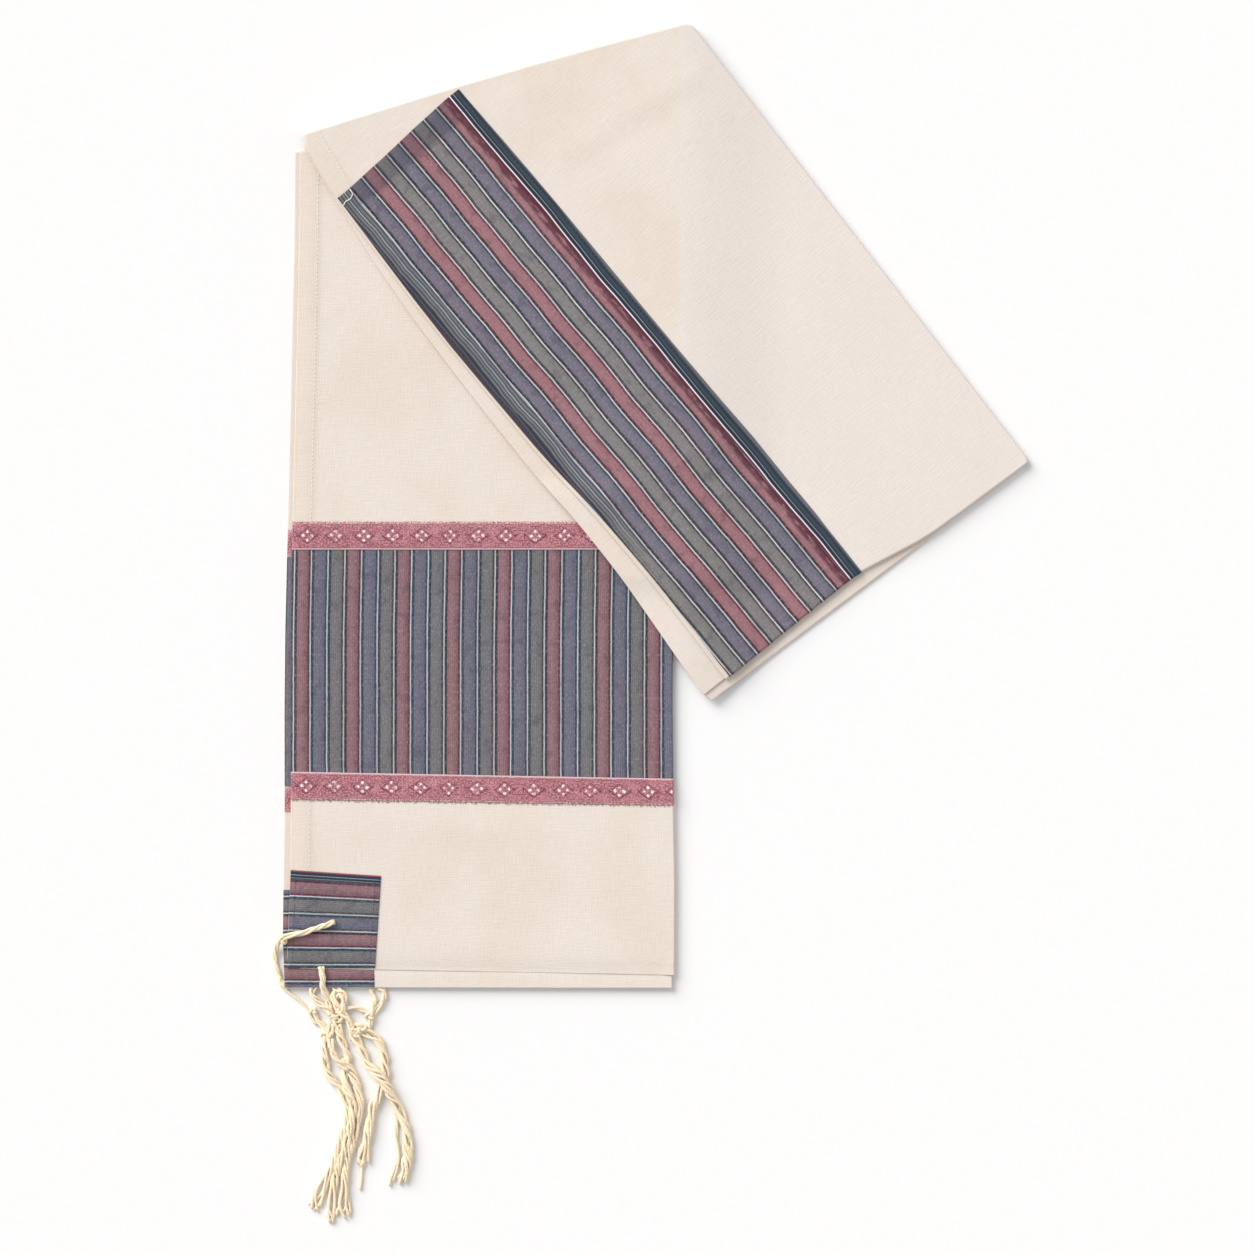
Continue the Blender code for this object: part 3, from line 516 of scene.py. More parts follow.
def make_front_patch(looks):
    sheet = Sheet()
    height = PATCH_CORNERS[0][1] - PATCH_CORNERS[3][1]
    across, up = shares(PATCH_WIDTH, 1.5), shares(height, 1.5)
    a, b = np.meshgrid(across, up, indexing="ij")
    plan = patch_place(a, 1 - b)
    edge = np.minimum(np.minimum(a, 1 - a) * PATCH_WIDTH, np.minimum(b, 1 - b) * height)
    soft = 0.12 * np.sin(plan[..., 0] / 5.0) * np.sin(plan[..., 1] / 7.0)
    rise = trim_rise(edge) + 0.1 + (PATCH_RISE - TRIM_RISE + soft) * smooth(edge / 6.0)
    z = LEAF_TOP + lower_lift(plan[..., 0], plan[..., 1]) + rise
    points = np.concatenate([plan, z[..., None]], -1)
    sheet.fill(sheet.add(points, np.stack([a * PATCH_WIDTH, (1 - b) * height], -1)))
    piece = make_cloth("front_patch_cloth", sheet, TRIM, looks["patch"])
    finish_cloth(piece, ["front_patch"])


# The upper stretch

def band_place(x, y):
    """Distance across and along the neckband's frame."""
    dx, dy = x - BAND_START[0], y - BAND_START[1]
    return (dx * BAND_ACROSS[0] + dy * BAND_ACROSS[1], dx * BAND_ALONG[0] + dy * BAND_ALONG[1])


def from_band(u, v):
    """Places in the plan for distances across and along the neckband's frame."""
    return BAND_START + np.outer(v, BAND_ALONG) + np.outer(u, BAND_ACROSS)


def rest(x, y):
    """Height of what the upper stretch lies on: the lower stretch with its ribbon, or the floor."""
    on_panel = 1 - smooth((x - lower_fold(y) - BRIDGE_START) / BRIDGE_LENGTH)
    off_ribbon = np.maximum(y - UPPER_RIBBON_TOP.left, UPPER_RIBBON_BOTTOM.left - y)
    on_ribbon = 1 - smooth((off_ribbon - RIBBON_RISE_FLAT) / RIBBON_RISE_RAMP)
    return on_panel * (LEAF_TOP + GAP + on_ribbon * RIBBON_RISE)


UPPER_PLACES = np.arange(-207.0, 221.6, 2.0)
LEAF_REACH = reach(("top_leaf",), UPPER_PLACES, along=(1.0, 0.0))
STACK_REACH = reach(("upper_stack",), UPPER_PLACES, along=(1.0, 0.0))


def carried_on(x, places, line, last):
    """A line over its places up to the last one, and straight on from there."""
    there = np.interp(last, places, line)
    slope = (there - np.interp(last - 12.0, places, line)) / 12.0
    return np.where(x > last, there + slope * (x - last), np.interp(x, places, line))


def end_line(x):
    """Outside of the end fold of the lower layers."""
    return END_START[1] + (x - END_START[0]) * END_SLOPE


def pair_line(x):
    """Where the end fold of the top pair of layers starts to turn."""
    above = np.interp(x, END_FOLD[:, 0], END_FOLD[:, 1])
    return end_line(x) + above + slanted(END_RADIUS, END_SLOPE)


def leaf_edge(x):
    return carried_on(x, UPPER_PLACES, LEAF_REACH[0], 38.0)


def stack_edge(x):
    return carried_on(x, UPPER_PLACES, STACK_REACH[0], 34.0)


def corner_of(edge, end):
    """Where a left edge meets an end fold."""
    x = np.linspace(20.0, 60.0, 801)
    return round(float(x[np.argmin(np.abs(edge(x) - end(x)))]), 2)


def fold_radius(x, y):
    return (rest(x, y) + LEAF_TOP) / 2


def high_line(x, inset):
    """Where the top fold or the right fold starts to turn, a little round at their corner."""
    top_slope = (TOP_RIGHT[1] - TOP_LEFT[1]) / (TOP_RIGHT[0] - TOP_LEFT[0])
    right_slope = (BOTTOM_RIGHT[1] - TOP_RIGHT[1]) / (BOTTOM_RIGHT[0] - TOP_RIGHT[0])
    share = np.clip((x - TOP_LEFT[0]) / (TOP_RIGHT[0] - TOP_LEFT[0]), 0, 1)
    top = TOP_LEFT[1] + (x - TOP_LEFT[0]) * top_slope + TOP_BOW * np.sin(math.pi * share)
    right = TOP_RIGHT[1] + (x - TOP_RIGHT[0]) * right_slope
    top = top - slanted(inset, top_slope)
    right = right - slanted(inset, right_slope)
    gap = np.clip(0.5 + 0.5 * (right - top) / CORNER_SOFTNESS, 0, 1)
    return right + (top - right) * gap - CORNER_SOFTNESS * gap * (1 - gap)


def upper_lift(x, y):
    u, v = band_place(x, y)
    return (crease_rise(UPPER_CREASES, x, y) * 0.7 + crease_rise(BAND_CREASES, u, v) * 0.7
            + ripple(x, y, 0.04))


BAND_PLACES = np.arange(2.0, 366.0, 3.0)
BAND_LEFT, BAND_RIGHT = reach(("neckband",), BAND_PLACES, along=BAND_ALONG, origin=BAND_START)
HEM_PLACES = np.arange(-44.0, 352.0, 4.0)
HEM_LEFT = reach(("top_leaf",), HEM_PLACES, along=BAND_ALONG, origin=BAND_START)[0]


def leaf_surface(x, y):
    """Height of the top leaf's outer face, away from its folds."""
    u, v = band_place(x, y)
    from_edge = u - np.interp(v, HEM_PLACES, HEM_LEFT)
    from_top = high_line(x, 0.0) - y
    near_fold = smooth((from_top - 4.0) / 14.0)
    return rest(x, y) + LEAF_TOP + upper_lift(x, y) * near_fold + hem_rise(from_edge) * near_fold


def upper_columns(corner, first=-207.3, last=223.4):
    near_corner = np.arange(TOP_RIGHT[0] - 12, TOP_RIGHT[0] + 12, STEP / 2)
    along = np.arange(first, last, STEP)
    places = np.unique(np.round(np.concatenate([along, near_corner, [corner, last]]), 2))
    keep = np.concatenate([[True], np.diff(places) > STEP * 0.3])
    return places[keep | (places == corner)]


def round_border(sheet, grid, low_from, end_radius, radius_of=None):
    """Add the round of a grid's lower end and, with radius_of, of its upper and right border."""
    border = []
    if radius_of:
        border += [(index, False) for index in grid[:, -1]]
        border += [(index, False) for index in grid[-1, -2:0:-1]]
    border += [(index, True) for index in grid[::-1, 0]
               if sheet.points[index, 0] >= low_from - 0.01]
    places = sheet.points[[index for index, _ in border]]
    run = np.gradient(places[:, :2], axis=0)
    side = unit(np.stack([-run[:, 1], run[:, 0]], -1))
    angles = np.radians(np.linspace(90.0, -90.0, ROUND_STEPS + 1)[1:])
    rows, flat = [], []
    for n, (index, on_end) in enumerate(border):
        radius = end_radius if on_end else radius_of(places[n][2])
        rows.append(arc(places[n], side[n], radius, angles, 1.0 if on_end else SQUASH))
        turned = radius * (math.pi / 2 - angles)[:, None] * side[n]
        u, v = band_place(turned[:, 0] + BAND_START[0], turned[:, 1] + BAND_START[1])
        flat.append(sheet.flat[index] + np.stack([u, v], -1))
    added = sheet.add(np.array(rows), np.array(flat))
    rounds = np.concatenate([np.array([index for index, _ in border])[:, None], added], 1)
    sheet.fill(rounds)


def upper_grid(sheet, columns, low, high, height, from_edge=False):
    """A grid of points between two lines across the upper stretch, at a height."""
    rows = shares(UPPER_LENGTH, 4.0)
    x = np.repeat(columns[:, None], len(rows), 1)
    y = low[:, None] + (high - low)[:, None] * rows[None, :]
    u, v = band_place(x, y)
    if from_edge:
        u = u - np.interp(v, HEM_PLACES, HEM_LEFT)
    points = np.stack([x, y, height(x, y)], -1)
    grid = sheet.add(points, np.stack([u, v], -1))
    sheet.fill(grid)
    return grid


def over_panel(x, y):
    """One where the upper stretch lies on the lower one: where it doesn't, its colour gets painted
    show-through light.
    """
    return 1 - smooth((x - lower_fold(y)) / 3.0)


def make_top_leaf(looks):
    sheet = Sheet()
    corner = corner_of(leaf_edge, pair_line)
    columns = upper_columns(corner)
    low = np.where(columns < corner, leaf_edge(columns), pair_line(columns))
    inset = fold_radius(columns, high_line(columns, 0.0)) * SQUASH
    high = np.maximum(high_line(columns, inset), low + 0.3)
    grid = upper_grid(sheet, columns, low, high, leaf_surface, from_edge=True)
    round_border(sheet, grid, corner, END_RADIUS, lambda z: (z - FLOOR_CLEAR) / 2)
    piece = make_cloth("top_leaf_cloth", sheet, CLOTH, looks["cream_upper"])
    # Where the lower stretch lies under it, for the painted show-through light in its colour
    under = piece.data.attributes.new("over_panel", "FLOAT", "POINT")
    places = np.array([vertex.co for vertex in piece.data.vertices]) / MM
    under.data.foreach_set("value", over_panel(places[:, 0], places[:, 1]).astype(np.float32))
    finish_cloth(piece, ["top_leaf"])


def lower_end(x):
    """Where the end fold of the lower pair of layers starts to turn."""
    return end_line(x) + slanted(LEDGE_RADIUS, END_SLOPE)


def make_upper_layers(looks):
    """The three hidden layers of the upper stretch, which show at its left edge and end."""
    for name, top, end, tucked in (("upper_second_layer", SECOND_TOP, pair_line, 0.0),
                                   ("upper_third_layer", THIRD_TOP, lower_end, 1.0),
                                   ("upper_back_layer", BACK_TOP, lower_end, 0.5)):
        def edge(x, tucked=tucked):
            return stack_edge(x) + tucked

        sheet = Sheet()
        corner = corner_of(edge, end)
        columns = upper_columns(corner, last=222.4)
        low = np.where(columns < corner, edge(columns), end(columns))
        high = np.maximum(high_line(columns, 1.2 + CLOTH), low + 0.4)
        grid = upper_grid(sheet, columns, low, high, lambda x, y, top=top: rest(x, y) + top)
        if name == "upper_third_layer":
            round_border(sheet, grid, corner, LEDGE_RADIUS)
        piece = make_cloth(name, sheet, CLOTH, looks["cream"])
        finish_cloth(piece, ["upper_stack"])


def neckband_edges(v):
    return np.interp(v, BAND_PLACES, BAND_LEFT), np.interp(v, BAND_PLACES, BAND_RIGHT)


def neckband_top(u):
    wave = 0.5 * np.sin(u / 9.0 + 1.0)
    return -1.6 - 3.0 * smooth((u - 30) / 36.0) + wave


def end_fold_v(u_line):
    """How far along the neckband the end fold starts to turn, for distances across it."""
    result = []
    for u in u_line:
        v = np.linspace(300.0, 380.0, 400)
        plan = from_band(u, v)
        inside = plan[:, 1] > pair_line(plan[:, 0])
        result.append(v[inside][-1])
    return np.array(result)


def make_neckband(looks):
    sheet = Sheet()
    across = shares(BAND_WIDTH, 2.0)
    along = shares(355.0, 2.0)
    left_end, right_end = neckband_edges(350.0)
    v_end = end_fold_v(left_end + (right_end - left_end) * across)
    v_top = neckband_top(across * BAND_WIDTH)
    v = v_top[:, None] + (v_end - v_top)[:, None] * along[None, :]
    left, right = neckband_edges(v)
    u = left + (right - left) * across[:, None]
    x = BAND_START[0] + u * BAND_ACROSS[0] + v * BAND_ALONG[0]
    y = BAND_START[1] + u * BAND_ACROSS[1] + v * BAND_ALONG[1]
    edge = np.minimum(np.minimum(u - left, right - u), v - v_top[:, None])
    pleats = 0.16 * np.sin(u / 5.3 + 0.5 * np.sin(v / 30.0)) * np.sin(v / 60.0)
    z = leaf_surface(x, y) + trim_rise(edge) + pleats * smooth(edge / 6.0)
    grid = sheet.add(np.stack([x, y, z], -1), np.stack([u, v], -1))
    end_normal = np.array([END_SLOPE, -1.0]) / math.hypot(END_SLOPE, 1.0)
    angles = np.radians(np.linspace(90.0, -30.0, ROUND_STEPS)[1:])
    radius = END_RADIUS + TRIM
    last = np.stack([x[:, -1], y[:, -1], z[:, -1]], -1)
    rows = [arc(place, end_normal, radius, angles) for place in last]
    turned = v[:, -1:] + radius * (math.pi / 2 - angles)[None, :]
    added = sheet.add(np.array(rows), np.stack([np.repeat(u[:, -1:], len(angles), 1), turned], -1))
    whole = np.concatenate([grid, added], 1)
    sheet.fill(whole[:, ::-1])
    piece = make_cloth("neckband_cloth", sheet, TRIM, looks["neckband"])
    finish_cloth(piece, ["neckband"])


# Sewing and threads

STITCH_RADIUS = 0.17
FINE_STITCH_RADIUS = 0.07
STITCH_LENGTH = 1.9
STITCH_SPACING = 2.6
RIBBON_STITCH_SPACING = 2.1
# Where rows of stitches start and end: by y on the front leaf, by distance along the neckband
HEM_STITCHES = ((268.0, 62.0), (-110.0, -146.0))
TOP_HEM_STITCHES = (-42.0, -8.0)
NECKBAND_STITCHES = (4.0, 346.0)
# How far in from the edges the rows run
NECKBAND_INSET = 2.0
NECKBAND_END_HEM = 11.4
RIBBON_INSET = 1.3
PATCH_INSET = 3.0
PATCH_THREAD_RISE = 0.05
WHISKER_GAP = 1.1
WHISKER_LINE = Line(-106.0, -108.0)
WHISKER_RISE = np.array([0.75, 0.5, 0.12])
WHISKER_RADIUS = 0.1
# A loose thread at the neckband's top left, by distances across and along the neckband
LOOSE_THREAD = np.array([(-0.6, 4.4), (2.0, 3.4), (5.2, 3.9), (8.0, 2.4), (8.6, -0.6)])
LOOSE_RADIUS = 0.28
THREAD_RADIUS = 0.88
THREAD_SIDES = 6
LOOSER = 1.9
THREAD_STEP = 1.6
KNOT_STEPS = 27


def along_line(points, spacing):
    """Places at an even spacing along a line of points."""
    points = np.asarray(points, float)
    run = run_along(points)
    count = max(2, int(run[-1] / spacing) + 1)
    wanted = np.linspace(0.0, run[-1], count)
    return np.stack([np.interp(wanted, run, points[:, k]) for k in range(points.shape[1])], -1)


def curve(points, step):
    """A smooth curve through points, as places at an even step."""
    points = np.array([tuple(p) + (0.0,) * (3 - len(p)) for p in points], float)
    before = np.vstack([2 * points[0] - points[1], points[:-1]])
    after = np.vstack([points[1:], 2 * points[-1] - points[-2]])
    tangent = (after - before) / 2
    share = np.linspace(0.0, 1.0, 9)[:-1, None]
    pieces = []
    for a, b, ta, tb in zip(points[:-1], points[1:], tangent[:-1], tangent[1:]):
        s2, s3 = share ** 2, share ** 3
        pieces.append((2 * s3 - 3 * s2 + 1) * a + (s3 - 2 * s2 + share) * ta
                      + (3 * s2 - 2 * s3) * b + (s3 - s2) * tb)
    pieces.append(points[-1:])
    return along_line(np.vstack(pieces), step)


class Threads:
    """Many round threads, joined as one mesh."""

    def __init__(self):
        self.points, self.flat, self.faces = [], [], []
        self.count = 0

    def add(self, middle, radii, sides=THREAD_SIDES):
        """A thread along a line of points, with a radius at each point and closed ends."""
        run = unit(np.gradient(middle, axis=0))
        up = unit(np.array([0.0, 0.0, 1.0]) - run * run[:, 2:3])
        side = np.cross(run, up)
        angles = np.arange(sides) * 2 * math.pi / sides
        ring = (np.cos(angles)[None, :, None] * side[:, None, :]
                + np.sin(angles)[None, :, None] * up[:, None, :])
        points = middle[:, None, :] + ring * np.asarray(radii)[:, None, None]
        length, around = np.meshgrid(run_along(middle), angles, indexing="ij")
        self.points.append(points.reshape(-1, 3))
        self.flat.append(np.stack([around, length], -1).reshape(-1, 2))
        index = self.count + np.arange(len(middle) * sides).reshape(-1, sides)
        following = np.roll(index, -1, axis=1)
        quads = np.stack([index[:-1], following[:-1], following[1:], index[1:]], -1)
        self.faces += quads.reshape(-1, 4).tolist()
        self.faces += [index[0][::-1].tolist(), index[-1].tolist()]
        self.count += len(middle) * sides

    def make(self, name, material):
        return add_mesh(name, np.vstack(self.points), self.faces, np.vstack(self.flat), material)


def sew(threads, line, height, spacing=STITCH_SPACING, radius=STITCH_RADIUS):
    """A row of stitches along a line in the plan, on a surface of a given height."""
    places = along_line(line, spacing)
    half = STITCH_LENGTH / spacing / 2
    for n in range(len(places) - 1):
        start = places[n] + (places[n + 1] - places[n]) * (0.5 - half)
        end = places[n] + (places[n + 1] - places[n]) * (0.5 + half)
        share = np.array([0.0, 0.25, 0.75, 1.0])[:, None]
        plan = start * (1 - share) + end * share
        rise = np.array([-0.6, 0.12, 0.12, -0.6]) * radius
        z = height(plan[:, 0], plan[:, 1]) + rise
        threads.add(np.concatenate([plan, z[:, None]], 1), radius * np.array([0.5, 1, 1, 0.5]))


def lower_height(x, y):
    return LEAF_TOP + lower_lift(x, y)


def finish_threads(threads, name, material, nodes=()):
    piece = threads.make(name, material)
    if nodes:
        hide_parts(*nodes)
    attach(piece, "root")


def on_neckband(x, y):
    return leaf_surface(x, y) + TRIM_EDGE_RISE + TRIM_RISE


def on_ribbon(x, y):
    return lower_height(x, y) + TRIM_EDGE_RISE + TRIM_RISE


def on_patch(x, y):
    return lower_height(x, y) + TRIM_EDGE_RISE + PATCH_RISE + PATCH_THREAD_RISE


def sew_hems(cream):
    """The side hem of the front leaf above and below the band, and of the top leaf."""
    for first, last in HEM_STITCHES:
        y = np.linspace(first, last, 60)
        sew(cream, np.stack([leaf_left(y) + SIDE_HEM - 1.2, y], -1), lower_height)
    v = np.linspace(*TOP_HEM_STITCHES, 20)
    u = np.interp(v, HEM_PLACES, HEM_LEFT) + SIDE_HEM - 1.0
    sew(cream, from_band(u, v), leaf_surface)


def sew_neckband(navy):
    """Both long edges of the neckband, and its turned-in top end."""
    v = np.linspace(*NECKBAND_STITCHES, 90)
    left, right = neckband_edges(v)
    for edge in (left + NECKBAND_INSET, right - NECKBAND_INSET):
        sew(navy, from_band(edge, v), on_neckband)
    across = np.linspace(NECKBAND_INSET, BAND_WIDTH - 2 * NECKBAND_INSET, 30)
    sew(navy, from_band(across, neckband_top(across) + NECKBAND_END_HEM), on_neckband,
        radius=FINE_STITCH_RADIUS)


def sew_patch(navy):
    near = PATCH_INSET / PATCH_WIDTH
    far = 1 - near
    across = np.array([near, far, far, near, near])
    down = np.array([near, near, far, far, near])
    sew(navy, patch_place(across, down), on_patch)


def sew_ribbons(pink):
    for line, inward in ((UPPER_RIBBON_TOP, -RIBBON_INSET), (UPPER_RIBBON_BOTTOM, RIBBON_INSET),
                         (LOWER_RIBBON_TOP, -RIBBON_INSET), (LOWER_RIBBON_BOTTOM, RIBBON_INSET)):
        x = np.linspace(leaf_left(line.left) + 1.0, lower_fold(line.right) - 3.0, 40)
        y = y_of(line, (x - x[0]) / (x[-1] - x[0])) + inward
        sew(pink, np.stack([x, y], -1), on_ribbon, RIBBON_STITCH_SPACING)


def add_whiskers(pink):
    """Short ends that have come loose along the lower edge of the lower ribbon."""
    left = leaf_left(WHISKER_LINE.left)
    right = lower_fold(WHISKER_LINE.right)
    for x in np.arange(left + 0.5, right - 3.0, WHISKER_GAP):
        y = y_of(LOWER_RIBBON_BOTTOM, (x - left) / (right - left))
        x_start, x_end = x + RANDOM.uniform(-1, 1), x + RANDOM.uniform(-2.2, 2.2)
        drop = RANDOM.uniform(0.5, 1.7)
        plan = np.array([(x_start, y + 0.8), (x_start, y + 0.1), (x_end, y - drop)])
        z = lower_height(plan[:, 0], plan[:, 1]) + WHISKER_RISE
        pink.add(np.concatenate([plan, z[:, None]], 1), np.full(3, WHISKER_RADIUS), 4)


def make_sewing(looks):
    """Hem, ribbon, patch and neckband stitches, and threads that have come loose."""
    cream, pink, navy = Threads(), Threads(), Threads()
    sew_hems(cream)
    sew_neckband(navy)
    sew_patch(navy)
    sew_ribbons(pink)
    add_whiskers(pink)
    plan = from_band(LOOSE_THREAD[:, 0], LOOSE_THREAD[:, 1])
    loose = curve([(x, y, on_neckband(x, y) + 0.25) for x, y in plan], 0.8)
    cream.add(loose, np.full(len(loose), LOOSE_RADIUS))
    finish_threads(cream, "cream_stitches", looks["thread"])
    finish_threads(pink, "ribbon_stitches", looks["pink_thread"])
    finish_threads(navy, "striped_stitches", looks["navy_thread"])


# Tzitzit: bundles of threads along routes listed below. The points are x, y and, where it
# isn't on the floor, the height of its underside. The pitch is a full turn of its twist.
Bundle = namedtuple("Bundle", "piece threads spread pitch fray points")
OVER_PATCH = 5.9
OVER_STACK = 3.2
BUNDLES = (
    Bundle("front_left", 3, 1.0, 14, 0, (
        (-188.9, -178.2, OVER_PATCH - 0.9), (-191, -178.8, OVER_PATCH),
        (-203.8, -183, OVER_PATCH), (-214.5, -186, OVER_PATCH), (-219.9, -187.7, 5.4),
        (-223.4, -191.5, 2.6), (-224.7, -197.9), (-224.1, -203.8), (-222.3, -209.8),
        (-219.3, -215.8), (-216.9, -217.5))),
    Bundle("front_left", 1, 0.0, 20, 0, (
        (-221.5, -210.6, 1.8), (-220.5, -216.6, 0.4), (-208, -226.9), (-202.6, -236),
        (-199.8, -239.6))),
    Bundle("front_left", 4, 1.5, 12, 0, (
        (-199.8, -215.4), (-201.9, -218.2, 0.2), (-202.2, -221.2, 0.3),
        (-199.4, -224.8), (-195, -228.8), (-190.7, -233.8, 0.5))),
    Bundle("front_left", 3, 1.0, 12, 0, (
        (-201.6, -231.2), (-199.8, -236.6), (-195.8, -240.5), (-194.2, -246.3, 0.6))),
    Bundle("front_left", 5, 1.7, 16, 24, (
        (-190.2, -239), (-194.0, -249.1), (-194.6, -255.4), (-194.0, -263.5),
        (-192.3, -269.5), (-187.6, -274.5), (-183.8, -280.5), (-181.6, -288), (-182.4, -297),
        (-184.8, -306), (-188, -316), (-191.6, -325), (-196, -334), (-202.4, -349.4))),
    Bundle("second_left", 4, 1.3, 12, 0, (
        (-196.9, -204.6, OVER_STACK), (-196.4, -209.8, OVER_STACK), (-196.4, -215.5, OVER_STACK),
        (-194.6, -220.5, 1.2), (-193, -225.2), (-190.7, -233.2), (-187.8, -236, 1))),
    Bundle("second_left", 5, 1.7, 15, 26, (
        (-187.6, -239.4), (-185.6, -246.3), (-182.2, -255.4), (-181, -259.4),
        (-182.8, -265.5), (-182.4, -274, 1.2), (-179.4, -283, 2.0), (-178.2, -290.5, 2.0),
        (-180.4, -303.8, 1.6), (-184.2, -316, 1.0), (-188, -328, 0.4), (-190.6, -341),
        (-192, -357.4))),
    Bundle("second_left", 6, 1.9, 17, 22, (
        (-186, -261, 0.8), (-180.4, -265.5), (-177, -272), (-174.8, -280), (-174.4, -288),
        (-176, -297), (-178.4, -307), (-181.2, -318), (-183, -331), (-183.6, -344),
        (-184.2, -355))),
    Bundle("second_left", 3, 1.1, 12, 0, (
        (-191.3, -247.7, 2.4), (-190.4, -254.5, 3.0), (-186.1, -261.6, 2.6),
        (-180.6, -266.5, 1.6))),
    Bundle("third_left", 4, 1.3, 12, 0, (
        (-189.4, -215.8), (-187.4, -218.4, 0.6), (-184.2, -220.6, 2.0),
        (-183.4, -224.4, 2.2), (-184.4, -229.8, 2.0), (-187.6, -233.4, 1.4))),
    Bundle("third_left", 4, 1.3, 12, 3, (
        (-187.8, -219, 1.0), (-190, -222.8, 1.2), (-188.2, -227.6, 2.2),
        (-183.6, -233.4, 1.8), (-179.6, -239.4, 1.4), (-177.6, -248.8, 0.4))),
    Bundle("third_left", 7, 2.0, 17, 10, (
        (-177, -246.1), (-173.6, -252.6), (-170.9, -260, 0.6), (-166.3, -265.7, 2.2),
        (-161.1, -271.4, 3.0), (-157.1, -277.1, 2.6), (-153.8, -283.3, 1.2),
        (-150.8, -289), (-147.5, -298.2), (-145.4, -309.6), (-146.3, -323.8), (-148.6, -335))),
    Bundle("third_left", 2, 0.8, 22, 8, (
        (-155.2, -282, 0.8), (-153.5, -290), (-152.5, -301), (-151.9, -321),
        (-156.4, -335.6))),
    Bundle("fourth_left", 2, 0.8, 12, 0, (
        (-167.6, -215.8), (-167.1, -218.6, 0.2), (-165.0, -222.6), (-165.6, -226.7, 0.6),
        (-167, -232.4))),
    Bundle("fourth_left", 3, 1.0, 12, 0, (
        (-163.4, -215.8), (-160.4, -218.2, 0.2), (-159.2, -221.6), (-161.4, -226.7),
        (-164.6, -230.6), (-167, -235), (-168.2, -242.4))),
    Bundle("fourth_left", 2, 0.8, 12, 0, (
        (-184.7, -229.8, 1.6), (-175.9, -229.2, 0.4), (-168.1, -233))),
    Bundle("fourth_left", 7, 2.0, 17, 16, (
        (-177.6, -241.1), (-173.6, -241.7), (-166.3, -246.3), (-162.2, -250.9),
        (-159.9, -258.2), (-158.8, -266.8), (-160.2, -275), (-163.6, -283.3),
        (-166, -289), (-168.2, -299), (-170.2, -309.6), (-172.6, -324.6))),
    Bundle("fourth_left", 1, 0.0, 20, 0, (
        (-172.5, -320, 0.6), (-173.1, -330), (-174, -337.9))),
)
Knot = namedtuple("Knot", "piece x y size turn lift")
KNOTS = (
    Knot("front_left", -219.6, -188.2, 2.7, 0.4, 3.6),
    Knot("front_left", -201.6, -230.9, 1.9, 1.0, 0.0),
    Knot("front_left", -194.2, -246.3, 3.0, 2.2, 0.0),
    Knot("second_left", -187.8, -236.6, 4.0, 0.2, 0.0),
    Knot("third_left", -186.2, -221.8, 2.0, 1.4, 0.0),
    Knot("third_left", -176.8, -243.6, 3.4, 2.6, 0.0),
    Knot("fourth_left", -168.0, -233.8, 2.6, 0.9, 0.0),
    Knot("fourth_left", -173.2, -241.4, 2.8, 1.9, 1.0),
)


def lay_bundle(threads, bundle):
    """Twist a bundle's threads about its route, and let them part at a frayed end."""
    middle = curve(bundle.points, THREAD_STEP)
    length = run_along(middle)
    run = unit(np.gradient(middle[:, :2], axis=0))
    side = np.stack([run[:, 1], -run[:, 0]], -1)
    fray = smooth((length - length[-1] + bundle.fray) / bundle.fray) if bundle.fray else 0.0
    twist = 2 * math.pi * (length - 0.45 * fray * bundle.fray) / (bundle.pitch * LOOSER)
    slack = RANDOM.uniform(0, 6.28, (bundle.threads, 3))
    for k in range(bundle.threads):
        angle = twist + 2 * math.pi * k / bundle.threads
        angle = angle + 0.7 * np.sin(length / 6.5 + slack[k, 0])
        reach_out = bundle.spread * (1 + 0.9 * fray)
        reach_out = reach_out * (1 + 0.2 * np.sin(length / 7.0 + slack[k, 1]))
        wander = 0.16 * bundle.spread * np.sin(length / 4.2 + slack[k, 2])
        plan = middle[:, :2] + side * (reach_out * np.cos(angle) + wander)[:, None]
        height = bundle.spread * 0.62 * (1 - 0.75 * fray)
        z = middle[:, 2] + THREAD_RADIUS + 0.1 + height * (1 + np.sin(angle))
        line = np.concatenate([plan, np.asarray(z)[:, None]], 1)
        cut = int(RANDOM.integers(0, 3)) if bundle.fray else 0
        line = line[:len(line) - cut]
        radii = THREAD_RADIUS * (1 + 0.08 * np.sin(length[:len(line)] / 2.2 + slack[k, 1]))
        radii[-1] *= 0.7
        threads.add(line, radii)


def tie_knot(threads, knot):
    """A small overhand knot."""
    turn = np.linspace(0.0, 2 * math.pi, KNOT_STEPS)
    across = (np.sin(turn) + 2 * np.sin(2 * turn)) / 3
    along = (np.cos(turn) - 2 * np.cos(2 * turn)) / 3
    x = knot.x + knot.size * (across * math.cos(knot.turn) - along * math.sin(knot.turn))
    y = knot.y + knot.size * (across * math.sin(knot.turn) + along * math.cos(knot.turn))
    z = knot.lift + THREAD_RADIUS * 2.4 + THREAD_RADIUS * 1.2 * np.sin(3 * turn)
    threads.add(np.stack([x, y, z], -1), np.full(len(turn), THREAD_RADIUS * 1.15))


def make_tzitzit(looks):
    for corner in ("front_left", "second_left", "third_left", "fourth_left"):
        threads = Threads()
        for bundle in BUNDLES:
            if bundle.piece == corner:
                lay_bundle(threads, bundle)
        for knot in KNOTS:
            if knot.piece == corner:
                tie_knot(threads, knot)
        finish_threads(threads, "tzitzit_" + corner + "_threads", looks["cord"],
                       ["tzitzit_" + corner])


# Materials

